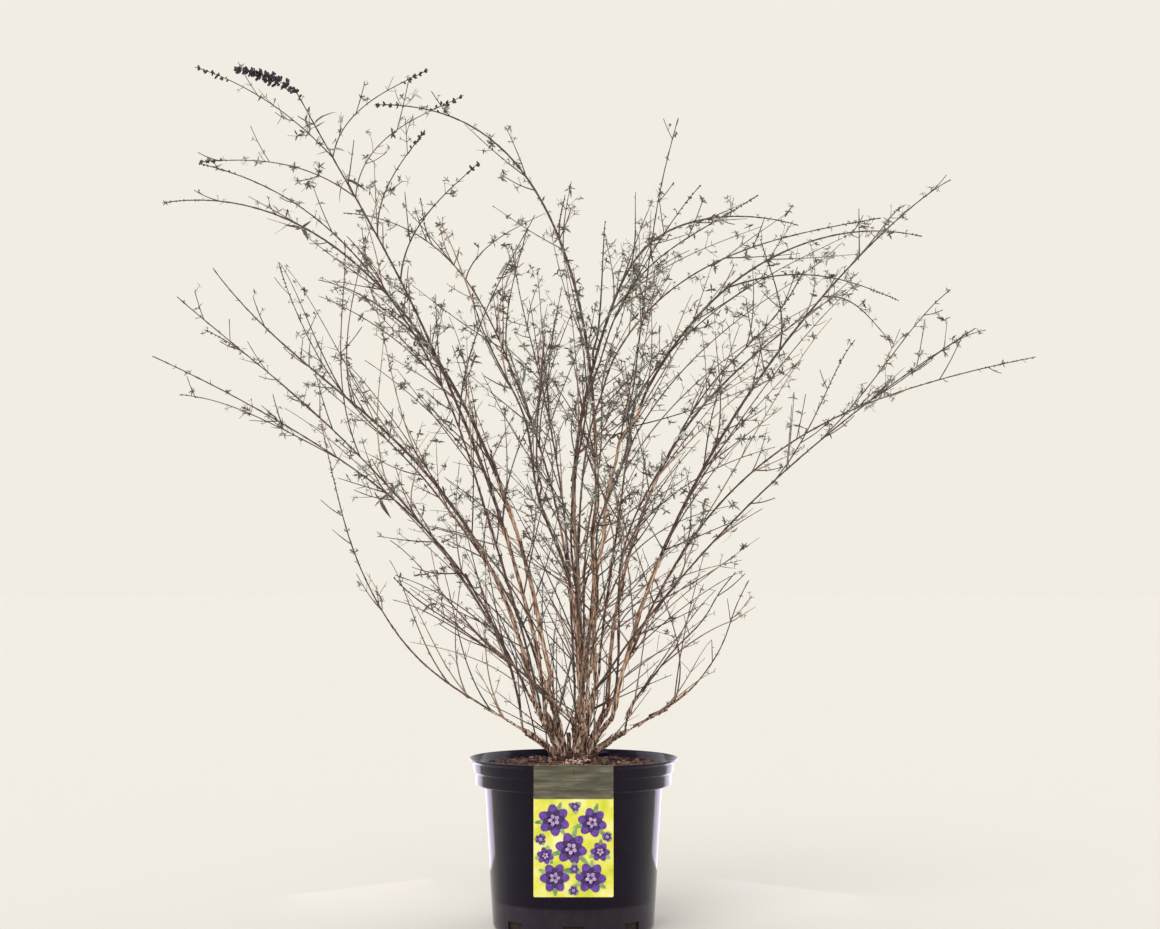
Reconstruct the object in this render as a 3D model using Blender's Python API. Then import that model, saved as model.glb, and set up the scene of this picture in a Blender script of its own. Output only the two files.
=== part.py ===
"""A butterfly bush in winter, nearly bare, standing in the black nursery pot it was grown in.

+X is to the right of the front view, +Y away from the viewer and +Z up. The origin is the middle
of the pot's flat underside. Lengths in the tables are millimetres, angles are degrees, and a
bearing is counted from +X towards +Y.
"""
import math
import random

import bmesh
import bpy
import numpy as np
from mathutils import Matrix, Vector, kdtree

MM = 0.001
GAP = 0.3 * MM

# Pot: a ten litre container with a flared lip and two bands
POT_SIDES = 32
POT_WALL = 2.0
POT_OUTLINE = [
    (102, 0), (106.5, 1.2), (108, 5), (119.6, 187.5), (131.6, 189.5), (131.8, 204), (133.2, 207),
    (136, 219), (140, 225),
]
POT_FLOOR = 3.0
POT_INSIDE = [
    (138, 225), (134, 219.6), (131.2, 207.6), (129.8, 204.6), (129.6, 190.1), (117.6, 188.1),
    (106, 6), (102, POT_FLOOR),
]
POT_SLACK = 0.4
DRAIN_SLOTS = 8
DRAIN_WIDTH = 26 * MM
DRAIN_LOW = 5 * MM
DRAIN_HIGH = 17 * MM
SLOT_DEPTH = 2.5

# Compost: heaped a little towards the foot of the bush
COMPOST_TOP = 216.2
COMPOST_RINGS = [(120, 212.5), (98, 214), (74, 215.5), (50, COMPOST_TOP)]
COMPOST_SHOULDER = 210.5
COMPOST_LUMP = 1.5

# Label: a card with a narrow hook over the lip at the front
LABEL_WIDTH = 102 * MM
LABEL_HEIGHT = 167 * MM
LABEL_THICK = 1.0 * MM
HOOK_WIDTH = 8 * MM
HOOK_THICK = 1.3 * MM
HOOK_REACH = 9.4 * MM
HOOK_DROP = 12.6 * MM
SUNK = 0.2 * MM

# Stool: the woody foot, with the short main stems that fork close above the compost
GROUND = COMPOST_TOP * MM + GAP
STOOL_SIDES = 14
STOOL_OUTLINE = [(37, 0), (36, 4), (32, 8), (23, 12), (10, 14)]
STOOL_LUMP = 0.10
STEM_START = 6
STEM_RADIUS = 4.8
FORK_RADIUS = 3.8
MAIN_STEMS = {
    # name: foot bearing, foot reach, fork bearing, fork reach, fork height over the ground
    "left_low": (-170, 15, -176, 68, 45),
    "left_front": (-150, 13, -152, 46, 58),
    "left": (170, 16, 172, 52, 76),
    "left_back": (130, 15, 138, 50, 64),
    "tall_left": (-160, 9, 178, 34, 98),
    "middle": (60, 7, 55, 18, 100),
    "centre": (-60, 7, -50, 20, 74),
    "back": (85, 16, 85, 48, 60),
    "tall_right": (10, 10, 12, 32, 104),
    "right_back": (35, 15, 28, 54, 72),
    "right_front": (-30, 15, -22, 56, 62),
    "right_low": (-5, 16, -3, 70, 42),
    "front": (-85, 14, -68, 40, 46),
}

# Canes: each starts at its main stem's fork and arches to its own tip
CANES = [
    # main stem, tip bearing, tip reach, tip height, lean at foot, lean at tip, bow at foot,
    # bow at tip, length of the spent flower spike
    ("left_low", 147, 441, 689, 66, 12, 32, 55, 0),
    ("left_low", -165, 559, 750, 8, 66, 34, 45, 0),
    ("front", -133, 326, 466, 50, 56, 40, 40, 0),
    ("left", 175, 550, 853, 26, 50, 42, 35, 0),
    ("left", 151, 619, 929, 12, 42, 42, 32, 0),
    ("left_back", 140, 593, 950, 16, 16, 40, 30, 0),
    ("tall_left", -165, 382, 1112, 12, 31, 30, 42, 15),
    ("tall_left", 165, 612, 1003, 7, 97, 48, 30, 0),
    ("left_front", -147, 546, 972, 14, 82, 52, 30, 0),
    ("middle", 154, 317, 1141, -9, 88, 51, 35, 45),
    ("middle", 136, 487, 1019, 8, 82, 48, 35, 0),
    ("middle", 45, 484, 1001, -7, 93, 72, 38, 0),
    ("centre", -22, 426, 928, -6, 84, 78, 32, 0),
    ("centre", -55, 390, 929, -7, 80, 74, 36, 0),
    ("back", 101, 509, 987, 12, 45, 45, 35, 0),
    ("back", 81, 546, 912, 18, 60, 45, 35, 0),
    ("tall_right", 19, 154, 1103, 8, 14, 40, 30, 0),
    ("tall_right", 14, 509, 949, -6, 100, 52, 33, 0),
    ("right_back", 42, 565, 907, 0, 63, 40, 46, 0),
    ("right_back", 12, 672, 779, 20, 78, 46, 42, 0),
    ("right_front", 0, 514, 1007, 10, 65, 45, 10, 0),
    ("centre", -15, 538, 788, 34, 58, 42, 30, 0),
    ("right_front", -56, 483, 826, 0, 61, 38, 50, 0),
    ("right_low", 22, 264, 462, 68, 22, 45, 40, 0),
    ("right_low", -50, 312, 473, 38, 50, 40, 30, 0),
    ("front", -104, 475, 783, 14, 50, 45, 35, 0),
    ("front", -82, 525, 686, 18, 60, 45, 35, 0),
]
ROOT_SWELL = 0.6
CANE_SHARE = 0.42
THIN_CANE = 1.3 * MM
THICKENING = 0.0010
STOUT_CANES = (5, 7, 8, 10, 12, 18, 19, 21, 26)
STOUT_THICKENING = 0.0023
SWAY = 6 * MM
TAPER = 0.9
CLEARANCE = 1.5 * MM
FORK_WEB = 14 * MM
OPENING = 0.02
LOOK_ROUND = 26 * MM
HELD_ROOT = 20 * MM
EASING_PASSES = 40
EASED = 0.2 * MM
BOUGH_START = 25 * MM
BOUGH_SIDES = 5
BOUGH_RINGS = 6
MASS_STEM_SIDES = 4
FLAT_ANGLE = 1.5
TWIG_SIDES = 3
THICKER = 1.12

# Side shoots: the longer ones that leave a cane and make the outline
SHOOTS = [
    # cane number, per cent of the cane's length, tip bearing, tip reach, tip height, flower spike
    (7, 99, -165, 457, 1130, 75), (7, 88, -177, 513, 1156, 55), (7, 88, -168, 200, 1149, 40),
    (7, 81, -125, 244, 1078, 55), (7, 81, -179, 508, 1030, 30), (7, 74, -140, 250, 1042, 35),
    (7, 67, -171, 131, 1026, 20),
    (8, 50, 152, 420, 897, 0), (4, 55, -169, 311, 915, 0), (4, 62, -168, 494, 790, 0),
    (10, 62, 120, 23, 990, 0), (11, 52, 137, 88, 951, 0), (11, 78, 144, 273, 1011, 0),
    (9, 45, -117, 112, 942, 0), (12, 44, 25, 48, 953, 0), (18, 66, 27, 538, 873, 0),
    (21, 80, 12, 478, 990, 0), (21, 62, 4, 257, 928, 0), (22, 55, -3, 380, 786, 0),
    (22, 66, -25, 522, 827, 0), (20, 66, 23, 663, 831, 0), (2, 62, 178, 538, 715, 0),
    (14, 62, -44, 228, 971, 0), (26, 50, -95, 381, 758, 0), (27, 50, -87, 420, 672, 0),
    (15, 55, 93, 361, 904, 0), (16, 55, 67, 458, 849, 0), (3, 45, -166, 250, 515, 0),
]

SHOOT_SHARE = 0.75
SHOOT_ARCH = 0.08

# Twigs: what grows by rule from every cane and side shoot inside its own space
STEP = 5 * MM
SLANT = (0.31, 0.17, 1.0)
TIP_RADIUS = 0.8 * MM
TWIG_SPACING = 78 * MM
TWIG_LENGTH = 95 * MM
SHOOT_TWIG_LENGTH = 60 * MM
TWIG_SPREAD = 44
TWIG_LIFT = 0.35
TWIG_RADIUS = 1.2 * MM
TWIG_AT_FOOT = 1.2
TWIG_DWINDLE = 0.85
TWIG_VARIES = (0.6, 1.15)
FIRST_NODE = (0.4, 0.8)
NODE_VARIES = (0.8, 1.2)
NODE_TWIST = 0.2
RISING_GAIN = 0.35
BARE_ROOT = 3
BARE_TIP = 5
SHORTER = (1.0, 0.7, 0.45)
SHORTEST_TWIG = 24 * MM
SPACE_MARGIN = 5 * MM
CROWN_FOOT = GROUND + 40 * MM
CROWN_TOP = 1165 * MM
LEAF_SPACING = 76 * MM
LEAF_LENGTH = 14 * MM
LEAF_FOOT = 6 * MM
LEAF_LIFT = 0.4
PANICLE_FOOT = 1.5 * MM
PANICLE_SLIM = 0.095
PANICLE = [(0, 0.25), (0.15, 0.95), (0.3, 0.7), (0.45, 1.0), (0.7, 0.6), (1, 0.1)]
SEED = 1893


def polar(bearing, reach, height):
    """A point from its bearing, its reach from the middle and its height, given in millimetres."""
    angle = math.radians(bearing)
    return np.array([math.cos(angle) * reach, math.sin(angle) * reach, height]) * MM


def leaning(lean, bearing):
    """The unit vector that leans so far from upright towards a bearing."""
    tilt = math.radians(lean)
    return np.append(polar(bearing, math.sin(tilt), 0)[:2] / MM, math.cos(tilt))


def unit(vector):
    return vector / max(np.linalg.norm(vector), 1e-9)


def sampled(values, index):
    """Rows of a table read between its whole rows."""
    count = np.arange(len(values))
    return np.column_stack([np.interp(index, count, values[:, axis]) for axis in range(3)])


def bezier(p0, p1, p2, p3):
    """A cubic curve as points at even steps of its length."""
    t = np.linspace(0, 1, 200)[:, None]
    points = (1 - t) ** 3 * p0 + 3 * t * (1 - t) ** 2 * p1 + 3 * t * t * (1 - t) * p2 + t ** 3 * p3
    run = np.append(0, np.cumsum(np.linalg.norm(np.diff(points, axis=0), axis=1)))
    stations = np.linspace(0, run[-1], max(3, round(run[-1] / STEP) + 1))
    return sampled(points, np.interp(stations, run, np.arange(len(run))))


class Limb:
    """A path of points a step apart, with the radius at each of them."""

    def __init__(self, path, foot, tip, owner, stem=None, spike=0):
        self.path = path
        share = np.linspace(1, 0, len(path))
        self.radius = tip + (foot - tip) * share ** TAPER
        self.owner = owner
        self.stem = stem
        self.spike = spike * MM
        self.length = STEP * (len(path) - 1)

    def direction(self, i):
        low, high = max(i - 1, 0), min(i + 1, len(self.path) - 1)
        return unit(self.path[high] - self.path[low])


def main_stem(name):
    """A short stem from the stool's dome to its fork."""
    foot_bearing, foot_reach, fork_bearing, fork_reach, rise = MAIN_STEMS[name]
    foot = polar(foot_bearing, foot_reach, GROUND / MM + STEM_START)
    fork = polar(fork_bearing, fork_reach, GROUND / MM + rise)
    chord = fork - foot
    leaving = chord * (1, 1, ROOT_SWELL)
    path = bezier(foot, foot + chord / 3, fork - leaving / 3, fork)
    return Limb(path, STEM_RADIUS * MM, FORK_RADIUS * MM, 0, name)


def cane(number, row, stems):
    """One long cane from its fork, arching over to its tip, with a slight seeded sway."""
    stem, bearing, reach, height, foot_lean, tip_lean, foot_bow, tip_bow, spike = row
    foot, tip = stems[stem].path[-1], polar(bearing, reach, height)
    way = tip - foot
    towards = math.degrees(math.atan2(way[1], way[0]))
    chord = np.linalg.norm(way)
    path = bezier(foot, foot + leaning(foot_lean, towards) * chord * foot_bow / 100,
                  tip - leaning(tip_lean, towards) * chord * tip_bow / 100, tip)
    rng = random.Random(SEED + number)
    t = np.linspace(0, 1, len(path))
    across = leaning(90, towards + 90)
    sway = sum(np.sin(t * math.pi * waves) * rng.uniform(-SWAY, SWAY) for waves in (2, 3, 5))
    path = path + sway[:, None] * across
    growth = STOUT_THICKENING if number in STOUT_CANES else THICKENING
    foot_radius = THIN_CANE + STEP * len(path) * growth
    return Limb(path, foot_radius, TIP_RADIUS, number, stem, spike)


def side_shoot(row, canes):
    """A long shoot that leaves its cane part of the way up and bends towards its own tip."""
    number, share, bearing, reach, height, spike = row
    parent = canes[number - 1]
    i = round(share / 100 * (len(parent.path) - 1))
    root, tip = parent.path[i], polar(bearing, reach, height)
    chord = np.linalg.norm(tip - root)
    out = unit(parent.direction(i) + unit(tip - root))
    rise = np.array([0, 0, chord * SHOOT_ARCH])
    path = bezier(root, root + out * chord * 0.4, tip - (tip - root) * 0.3 + rise, tip)
    return Limb(path, parent.radius[i] * SHOOT_SHARE, TIP_RADIUS, number, spike=spike)


def room(first, i, second, j):
    """How far apart two points of two limbs have to lie."""
    along = min(i, j) * STEP
    need = first.radius[i] + second.radius[j] + CLEARANCE + along * OPENING
    same = first.owner == second.owner or (first.stem and first.stem == second.stem)
    return need * min(along / FORK_WEB, 1) if same else need


def ease_apart(moving, fixed):
    """Push the moving limbs sideways until none runs through another; their roots stay."""
    kernel = np.hanning(15)[1:-1]
    kernel /= kernel.sum()
    limbs = moving + fixed
    for _ in range(EASING_PASSES):
        places = [(limb, i) for limb in limbs for i in range(len(limb.path))]
        tree = kdtree.KDTree(len(places))
        for index, (limb, i) in enumerate(places):
            tree.insert(limb.path[i], index)
        tree.balance()
        pushes, worst = [], 0
        for limb in moving:
            push = np.zeros_like(limb.path)
            for i, point in enumerate(limb.path):
                for _, index, distance in tree.find_range(point, LOOK_ROUND):
                    other, j = places[index]
                    short = 0 if other is limb else room(limb, i, other, j) - distance
                    if short > 0:
                        push[i] += unit(point - other.path[j]) * short / 2
                        worst = max(worst, short)
            for axis in range(3):
                push[:, axis] = np.convolve(push[:, axis], kernel, "same")
            ease = np.minimum(np.arange(len(push)) * STEP / HELD_ROOT, 1)
            pushes.append(push * ease[:, None])
        for limb, push in zip(moving, pushes):
            limb.path = limb.path + push
        if worst < EASED:
            break


class Space:
    """Tells whether a point lies in a cane's own space: nearer to it than to any other."""

    def __init__(self, limbs):
        self.points = np.vstack([limb.path for limb in limbs])
        self.owner = np.concatenate([np.full(len(limb.path), limb.owner) for limb in limbs])

    def holds(self, path, number):
        for point in path:
            far = np.linalg.norm(self.points - point, axis=1)
            own = far[self.owner == number].min()
            if own + 2 * SPACE_MARGIN > far[self.owner != number].min():
                return False
        return CROWN_FOOT < path[:, 2].min() and path[:, 2].max() < CROWN_TOP


def twig_path(root, along, side, length):
    """A twig that leaves at an angle and turns up a little towards the light."""
    spread = math.radians(TWIG_SPREAD)
    start = along * math.cos(spread) + side * math.sin(spread)
    end = unit(start + np.array([0, 0, TWIG_LIFT]))
    half = root + start * length * 0.5
    return bezier(root, root + start * length * 0.25, half, half + end * length * 0.5)


def grow_twigs(limb, first, longest, space, rng):
    """Side twigs from nodes along a limb, each pair of nodes a quarter turn on."""
    twigs = []
    along = limb.direction(first)
    across = unit(np.cross(along, SLANT))
    turn = rng.uniform(0, math.pi)
    i = first + round(rng.uniform(*FIRST_NODE) * TWIG_SPACING / STEP)
    sign = 1
    while i < len(limb.path) - BARE_TIP:
        along = limb.direction(i)
        across = unit(across - along * across.dot(along))
        side = math.cos(turn) * across + math.sin(turn) * np.cross(along, across)
        share = i / len(limb.path)
        rising = 1 + RISING_GAIN * sign * side[2]
        full = longest * (TWIG_AT_FOOT - TWIG_DWINDLE * share) * rising * rng.uniform(*TWIG_VARIES)
        for shorter in SHORTER:
            length = full * shorter
            path = twig_path(limb.path[i], along, side * sign, length)
            if length > SHORTEST_TWIG and space.holds(path[BARE_ROOT:], limb.owner):
                foot = min(TWIG_RADIUS, limb.radius[i] * TAPER)
                twigs.append(Limb(path, foot, TIP_RADIUS, limb.owner))
                break
        sign = -sign
        turn += math.pi / 2 if sign > 0 else NODE_TWIST
        i += round(rng.uniform(*NODE_VARIES) * TWIG_SPACING / STEP)
    return twigs


def plan_bush():
    """The whole skeleton: main stems, canes, side shoots and twigs."""
    stems = {name: main_stem(name) for name in MAIN_STEMS}
    canes = [cane(number, row, stems) for number, row in enumerate(CANES, 1)]
    ease_apart(canes, list(stems.values()))
    shoots = [side_shoot(row, canes) for row in SHOOTS]
    ease_apart(shoots, canes)
    space = Space(canes + shoots)
    twigs = []
    for limb in canes:
        rng = random.Random(SEED + limb.owner * 17)
        twigs += grow_twigs(limb, round(CANE_SHARE * len(limb.path)), TWIG_LENGTH, space, rng)
    for number, limb in enumerate(shoots):
        rng = random.Random(SEED + number * 23)
        twigs += grow_twigs(limb, BARE_ROOT, SHOOT_TWIG_LENGTH, space, rng)
    return stems, canes, shoots, twigs, space


def material(name, colour, roughness):
    """A plain finish; the colour is linear red, green and blue."""
    made = bpy.data.materials.new(name)
    made.use_nodes = True
    shader = made.node_tree.nodes["Principled BSDF"]
    shader.inputs["Base Color"].default_value = (*colour, 1)
    shader.inputs["Roughness"].default_value = roughness
    return made


def add_object(name, mesh_data, finish, smooth=True):
    """Put a bmesh into the scene as a named object."""
    mesh = bpy.data.meshes.new(name)
    bmesh.ops.recalc_face_normals(mesh_data, faces=mesh_data.faces)
    mesh_data.to_mesh(mesh)
    mesh_data.free()
    if smooth:
        mesh.shade_smooth()
        mesh.set_sharp_from_angle(angle=math.radians(40))
    mesh.materials.append(finish)
    made = bpy.data.objects.new(name, mesh)
    bpy.context.scene.collection.objects.link(made)
    return made


def loft(rings, leaves=None):
    """A closed bmesh through rings of points, with a flat face on its first and last ring.

    Leaves are points keyed by (ring, side): the face there is drawn out to that point.
    """
    mesh_data = bmesh.new()
    verts = [[mesh_data.verts.new(point) for point in ring] for ring in rings]
    for k, (low, high) in enumerate(zip(verts, verts[1:])):
        for side in range(len(low)):
            n = (side + 1) % len(low)
            corners = (low[side], low[n], high[n], high[side])
            if leaves and (k, side) in leaves:
                tip = mesh_data.verts.new(leaves[k, side])
                for a in range(4):
                    mesh_data.faces.new((corners[a], corners[(a + 1) % 4], tip))
            else:
                mesh_data.faces.new(corners)
    mesh_data.faces.new(verts[0])
    mesh_data.faces.new(verts[-1])
    return mesh_data


def turned(outline, sides, wobble=None):
    """A solid turned about the upright axis from (radius, height) points in millimetres."""
    rings = []
    for k, (radius, height) in enumerate(outline):
        ring = []
        for side in range(sides):
            angle = 360 * side / sides - 90
            more, lift = wobble(k, angle) if wobble else (0, 0)
            ring.append(polar(angle, radius + more, height + lift))
        rings.append(ring)
    return loft(rings)


def tube(limb, sides, stations, swell=1, leafy=(), clear=None):
    """A limb with rings at the given distances along it and its ends cut square to it.

    The stretch after each ring numbered in leafy carries a pair of leaves, each where it is clear.
    """
    index = np.asarray(stations) / STEP
    centre, heading = sampled(limb.path, index), sampled(np.gradient(limb.path, axis=0), index)
    size = np.interp(index, np.arange(len(limb.path)), limb.radius) * swell
    across = unit(np.cross(heading[0], SLANT))
    loops, leaves = [], {}
    for k in range(len(index)):
        along = unit(heading[k])
        across = unit(across - along * across.dot(along))
        up = np.cross(along, across)
        round_way = [math.cos(a) * across + math.sin(a) * up
                     for a in (2 * math.pi * (side + 0.5) / sides for side in range(-1, sides))]
        loops.append([centre[k] + size[k] * way for way in round_way[:-1]])
        if k in leafy:
            quarter = leafy.index(k) % 2
            for side in (quarter, (quarter + sides // 2) % sides):
                out = unit(round_way[side] + round_way[side + 1])
                middle = (centre[k] + centre[k + 1]) / 2
                tip = middle + LEAF_LENGTH * (out + along * LEAF_LIFT)
                if clear(tip):
                    leaves[k, side] = tip
    return loft(loops, leaves)


def leafy_tube(limb, sides, low, clear):
    """The tube from a distance up to the tip, with a pair of leaves at even nodes and the tip."""
    nodes = max(1, round((limb.length - low) / LEAF_SPACING))
    highs = np.linspace(low, limb.length, nodes + 1)[1:]
    stations = [low] + [at for high in highs for at in (high - LEAF_FOOT, high)]
    return tube(limb, sides, stations, THICKER, tuple(range(1, 2 * nodes, 2)), clear)


def union(name, first, others, finish):
    """Join the other bmeshes to the first by one Boolean and keep the largest whole piece."""
    base = add_object(name, first, finish)
    gathered = bpy.data.collections.new(name + "_parts")
    for k, other in enumerate(others):
        piece = add_object(f"{name}_part_{k}", other, finish)
        bpy.context.scene.collection.objects.unlink(piece)
        gathered.objects.link(piece)
    joint = base.modifiers.new("Join", "BOOLEAN")
    joint.operation = "UNION"
    joint.operand_type = "COLLECTION"
    joint.collection = gathered
    joint.solver = "EXACT"
    depsgraph = bpy.context.evaluated_depsgraph_get()
    joined = bpy.data.meshes.new_from_object(base.evaluated_get(depsgraph))
    base.modifiers.clear()
    base.data = joined
    for piece in list(gathered.objects):
        bpy.data.objects.remove(piece)
    bpy.data.collections.remove(gathered)
    keep_largest(joined)
    return base


def keep_largest(mesh):
    """Drop loose scraps that a union left beside the main piece."""
    mesh_data = bmesh.new()
    mesh_data.from_mesh(mesh)
    left, pieces = set(mesh_data.verts), []
    while left:
        piece, edge = set(), [left.pop()]
        while edge:
            vert = edge.pop()
            piece.add(vert)
            near = {e.other_vert(vert) for e in vert.link_edges} & left
            left -= near
            edge += near
        pieces.append(piece)
    largest = max(pieces, key=len)
    scraps = [vert for piece in pieces if piece is not largest for vert in piece]
    bmesh.ops.delete(mesh_data, geom=scraps, context="VERTS")
    bmesh.ops.dissolve_limit(mesh_data, angle_limit=math.radians(FLAT_ANGLE),
                             verts=mesh_data.verts, edges=mesh_data.edges)
    bmesh.ops.triangulate(mesh_data, faces=mesh_data.faces)
    mesh_data.to_mesh(mesh)
    mesh_data.free()


def make_pot(finish):
    """The pot: one turned shell, open at the top, with slots for drainage above its foot."""
    pot = add_object("pot", turned(POT_OUTLINE + POT_INSIDE, POT_SIDES), finish)
    cutters = bmesh.new()
    wall = POT_OUTLINE[2][0] * MM
    reach = POT_WALL * MM * SLOT_DEPTH
    size = Vector((2 * reach, DRAIN_WIDTH, DRAIN_HIGH - DRAIN_LOW))
    for slot in range(DRAIN_SLOTS):
        place = (Matrix.Rotation(2 * math.pi * slot / DRAIN_SLOTS - math.pi / 2, 4, "Z")
                 @ Matrix.Translation((wall, 0, (DRAIN_LOW + DRAIN_HIGH) / 2))
                 @ Matrix.Diagonal((*size, 1)))
        bmesh.ops.create_cube(cutters, size=1, matrix=place)
    cutter = add_object("pot_slots", cutters, finish, smooth=False)
    cutter.hide_render = True
    cutter.display_type = "WIRE"
    cut = pot.modifiers.new("Slots", "BOOLEAN")
    cut.operation = "DIFFERENCE"
    cut.object = cutter


def make_compost(finish):
    """Compost filling the pot to a little under its rim, uneven on top."""
    rng = random.Random(SEED)
    walls = POT_INSIDE[::-1]
    side = [(radius - POT_SLACK, height + POT_SLACK) for radius, height in walls
            if height < COMPOST_SHOULDER - 2 * POT_SLACK]
    heights, radii = [height for _, height in walls], [radius for radius, _ in walls]
    shoulder = np.interp(COMPOST_SHOULDER, heights, radii) - POT_SLACK
    side.append((float(shoulder), COMPOST_SHOULDER))
    lumpy = range(len(side), len(side) + len(COMPOST_RINGS) - 1)

    def wobble(ring, angle):
        return 0, rng.uniform(-1, 1) * COMPOST_LUMP if ring in lumpy else 0

    add_object("compost", turned(side + COMPOST_RINGS, POT_SIDES, wobble), finish)


def box(low, high):
    """A box as a bmesh, between two corners."""
    mesh_data = bmesh.new()
    made = bmesh.ops.create_cube(mesh_data, size=1)["verts"]
    for vert in made:
        vert.co = Vector([low[a] + (vert.co[a] + 0.5) * (high[a] - low[a]) for a in range(3)])
    return mesh_data


def make_label(finish):
    """The card hangs in front of the lip by a narrow hook bent over it."""
    lip_radius, lip_height = (size * MM for size in POT_OUTLINE[-1])
    back = -lip_radius - GAP
    face = back - LABEL_THICK
    top = lip_height + GAP + HOOK_THICK
    half = HOOK_WIDTH / 2
    card = box((-LABEL_WIDTH / 2, face, top - LABEL_HEIGHT), (LABEL_WIDTH / 2, back, top))
    over = box((-half, face + SUNK, lip_height + GAP), (half, back + HOOK_REACH, top - SUNK))
    down = box((SUNK - half, back + HOOK_REACH - LABEL_THICK, top - HOOK_DROP),
               (half - SUNK, back + HOOK_REACH - SUNK, top - 2 * SUNK))
    union("label", card, [over, down], finish).data.shade_flat()


def make_stool(stems, canes, finish):
    """The lumpy foot, flat underneath, with every main stem up to the cut ends of its canes."""
    rng = random.Random(SEED + 5)
    outline = [(radius, height + GROUND / MM) for radius, height in STOOL_OUTLINE]

    def wobble(ring, angle):
        return outline[ring][0] * rng.uniform(-1, 1) * STOOL_LUMP, 0

    dome = turned(outline, STOOL_SIDES, wobble)
    others = [tube(stem, BOUGH_SIDES, np.linspace(0, stem.length, 3)) for stem in stems.values()]
    others += [tube(cane, BOUGH_SIDES, np.linspace(0, BOUGH_START, 3)) for cane in canes]
    union("stool", dome, others, finish)


def panicle(limb):
    """A spent flower spike round the end of a limb: thick at its foot and lumpy."""
    low = limb.length - limb.spike
    path = limb.path[round(low / STEP):]
    spike = Limb(np.vstack([path, path[-1] + limb.direction(len(limb.path)) * STEP]), 0, 0, 0)
    rings, sizes = np.array(PANICLE).T
    thick = PANICLE_FOOT + limb.spike * PANICLE_SLIM
    spike.radius = thick * np.interp(np.linspace(0, 1, len(spike.path)), rings, sizes)
    return tube(spike, BOUGH_SIDES, rings * spike.length)


def make_cane(limb, shoots, twigs, space, bark, twig_finish):
    """One cane's bough, and the mass that carries it on to its tip with all its twigs."""
    split = limb.length * CANE_SHARE
    bough = tube(limb, BOUGH_SIDES, np.linspace(BOUGH_START + GAP, split, BOUGH_RINGS))
    add_object(f"cane_{limb.owner:02d}", bough, bark)

    def clear(tip):
        return space.holds(tip[None, :], limb.owner)

    stem = leafy_tube(limb, MASS_STEM_SIDES, split + GAP, clear)
    parts = [leafy_tube(shoot, TWIG_SIDES, 0, clear) for shoot in shoots]
    for twig in twigs:
        rings = (0, twig.length - LEAF_FOOT, twig.length)
        parts.append(tube(twig, TWIG_SIDES, rings, THICKER, (1,), clear))
    parts += [panicle(spiked) for spiked in [limb] + shoots if spiked.spike]
    union(f"twigs_{limb.owner:02d}", stem, parts, twig_finish)


def main():
    for old in list(bpy.data.objects):
        bpy.data.objects.remove(old)
    plastic = material("black_plastic", (0.012, 0.011, 0.016), 0.3)
    earth = material("compost", (0.045, 0.03, 0.022), 0.95)
    card = material("label_card", (0.35, 0.36, 0.12), 0.5)
    bark = material("bark", (0.16, 0.085, 0.045), 0.9)
    twig_finish = material("twigs_and_leaves", (0.09, 0.075, 0.06), 0.9)
    stems, canes, shoots, twigs, space = plan_bush()
    make_pot(plastic)
    make_compost(earth)
    make_label(card)
    make_stool(stems, canes, bark)
    for limb in canes:
        own_shoots = [shoot for shoot in shoots if shoot.owner == limb.owner]
        own_twigs = [twig for twig in twigs if twig.owner == limb.owner]
        make_cane(limb, own_shoots, own_twigs, space, bark, twig_finish)


main()
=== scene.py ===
# %% [markdown]
# # A butterfly bush in winter, in the pot it was grown in
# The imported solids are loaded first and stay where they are. Every piece of this lesson is built
# in the same metres: +X is the right of the front view, +Y leads away from the camera, +Z is up.

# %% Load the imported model
import math
import random

import bmesh
import bpy
import numpy as np
from mathutils import Matrix, Vector, kdtree, noise


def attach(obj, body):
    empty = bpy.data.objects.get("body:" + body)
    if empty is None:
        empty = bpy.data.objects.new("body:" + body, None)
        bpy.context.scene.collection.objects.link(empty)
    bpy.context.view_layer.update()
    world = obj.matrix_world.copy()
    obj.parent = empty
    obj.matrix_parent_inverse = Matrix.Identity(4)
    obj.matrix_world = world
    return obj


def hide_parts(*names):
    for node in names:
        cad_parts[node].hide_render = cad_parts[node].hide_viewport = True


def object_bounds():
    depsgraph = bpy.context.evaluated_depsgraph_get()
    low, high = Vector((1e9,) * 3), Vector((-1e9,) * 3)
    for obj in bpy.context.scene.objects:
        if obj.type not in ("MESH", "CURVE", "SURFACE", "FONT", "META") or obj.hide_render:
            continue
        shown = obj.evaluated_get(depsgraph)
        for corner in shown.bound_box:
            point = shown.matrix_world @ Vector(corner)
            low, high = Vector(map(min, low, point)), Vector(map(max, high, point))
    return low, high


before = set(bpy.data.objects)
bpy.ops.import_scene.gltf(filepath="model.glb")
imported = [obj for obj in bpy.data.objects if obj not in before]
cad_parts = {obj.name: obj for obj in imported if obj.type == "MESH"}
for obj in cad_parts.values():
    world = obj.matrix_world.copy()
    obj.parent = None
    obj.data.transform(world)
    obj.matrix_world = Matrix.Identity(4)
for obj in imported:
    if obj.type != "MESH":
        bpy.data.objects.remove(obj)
cad_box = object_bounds()
MM = 0.001
print("nodes in the frame:", len(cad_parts))

# %% [markdown]
# ## Small helpers for colours, nodes and substances
# Colours are picked as sRGB hex values, the way a paint chart gives them, and Blender's shaders
# want linear light, so one function turns them. One more adds a node and feeds its sockets.


# %% Colours and nodes
def linear(colour):
    """An sRGB hex value as linear red, green, blue and alpha."""
    parts = [int(colour[i:i + 2], 16) / 255 for i in (0, 2, 4)]
    return (*[c / 12.92 if c < 0.04045 else ((c + 0.055) / 1.055) ** 2.4 for c in parts], 1)


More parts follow.
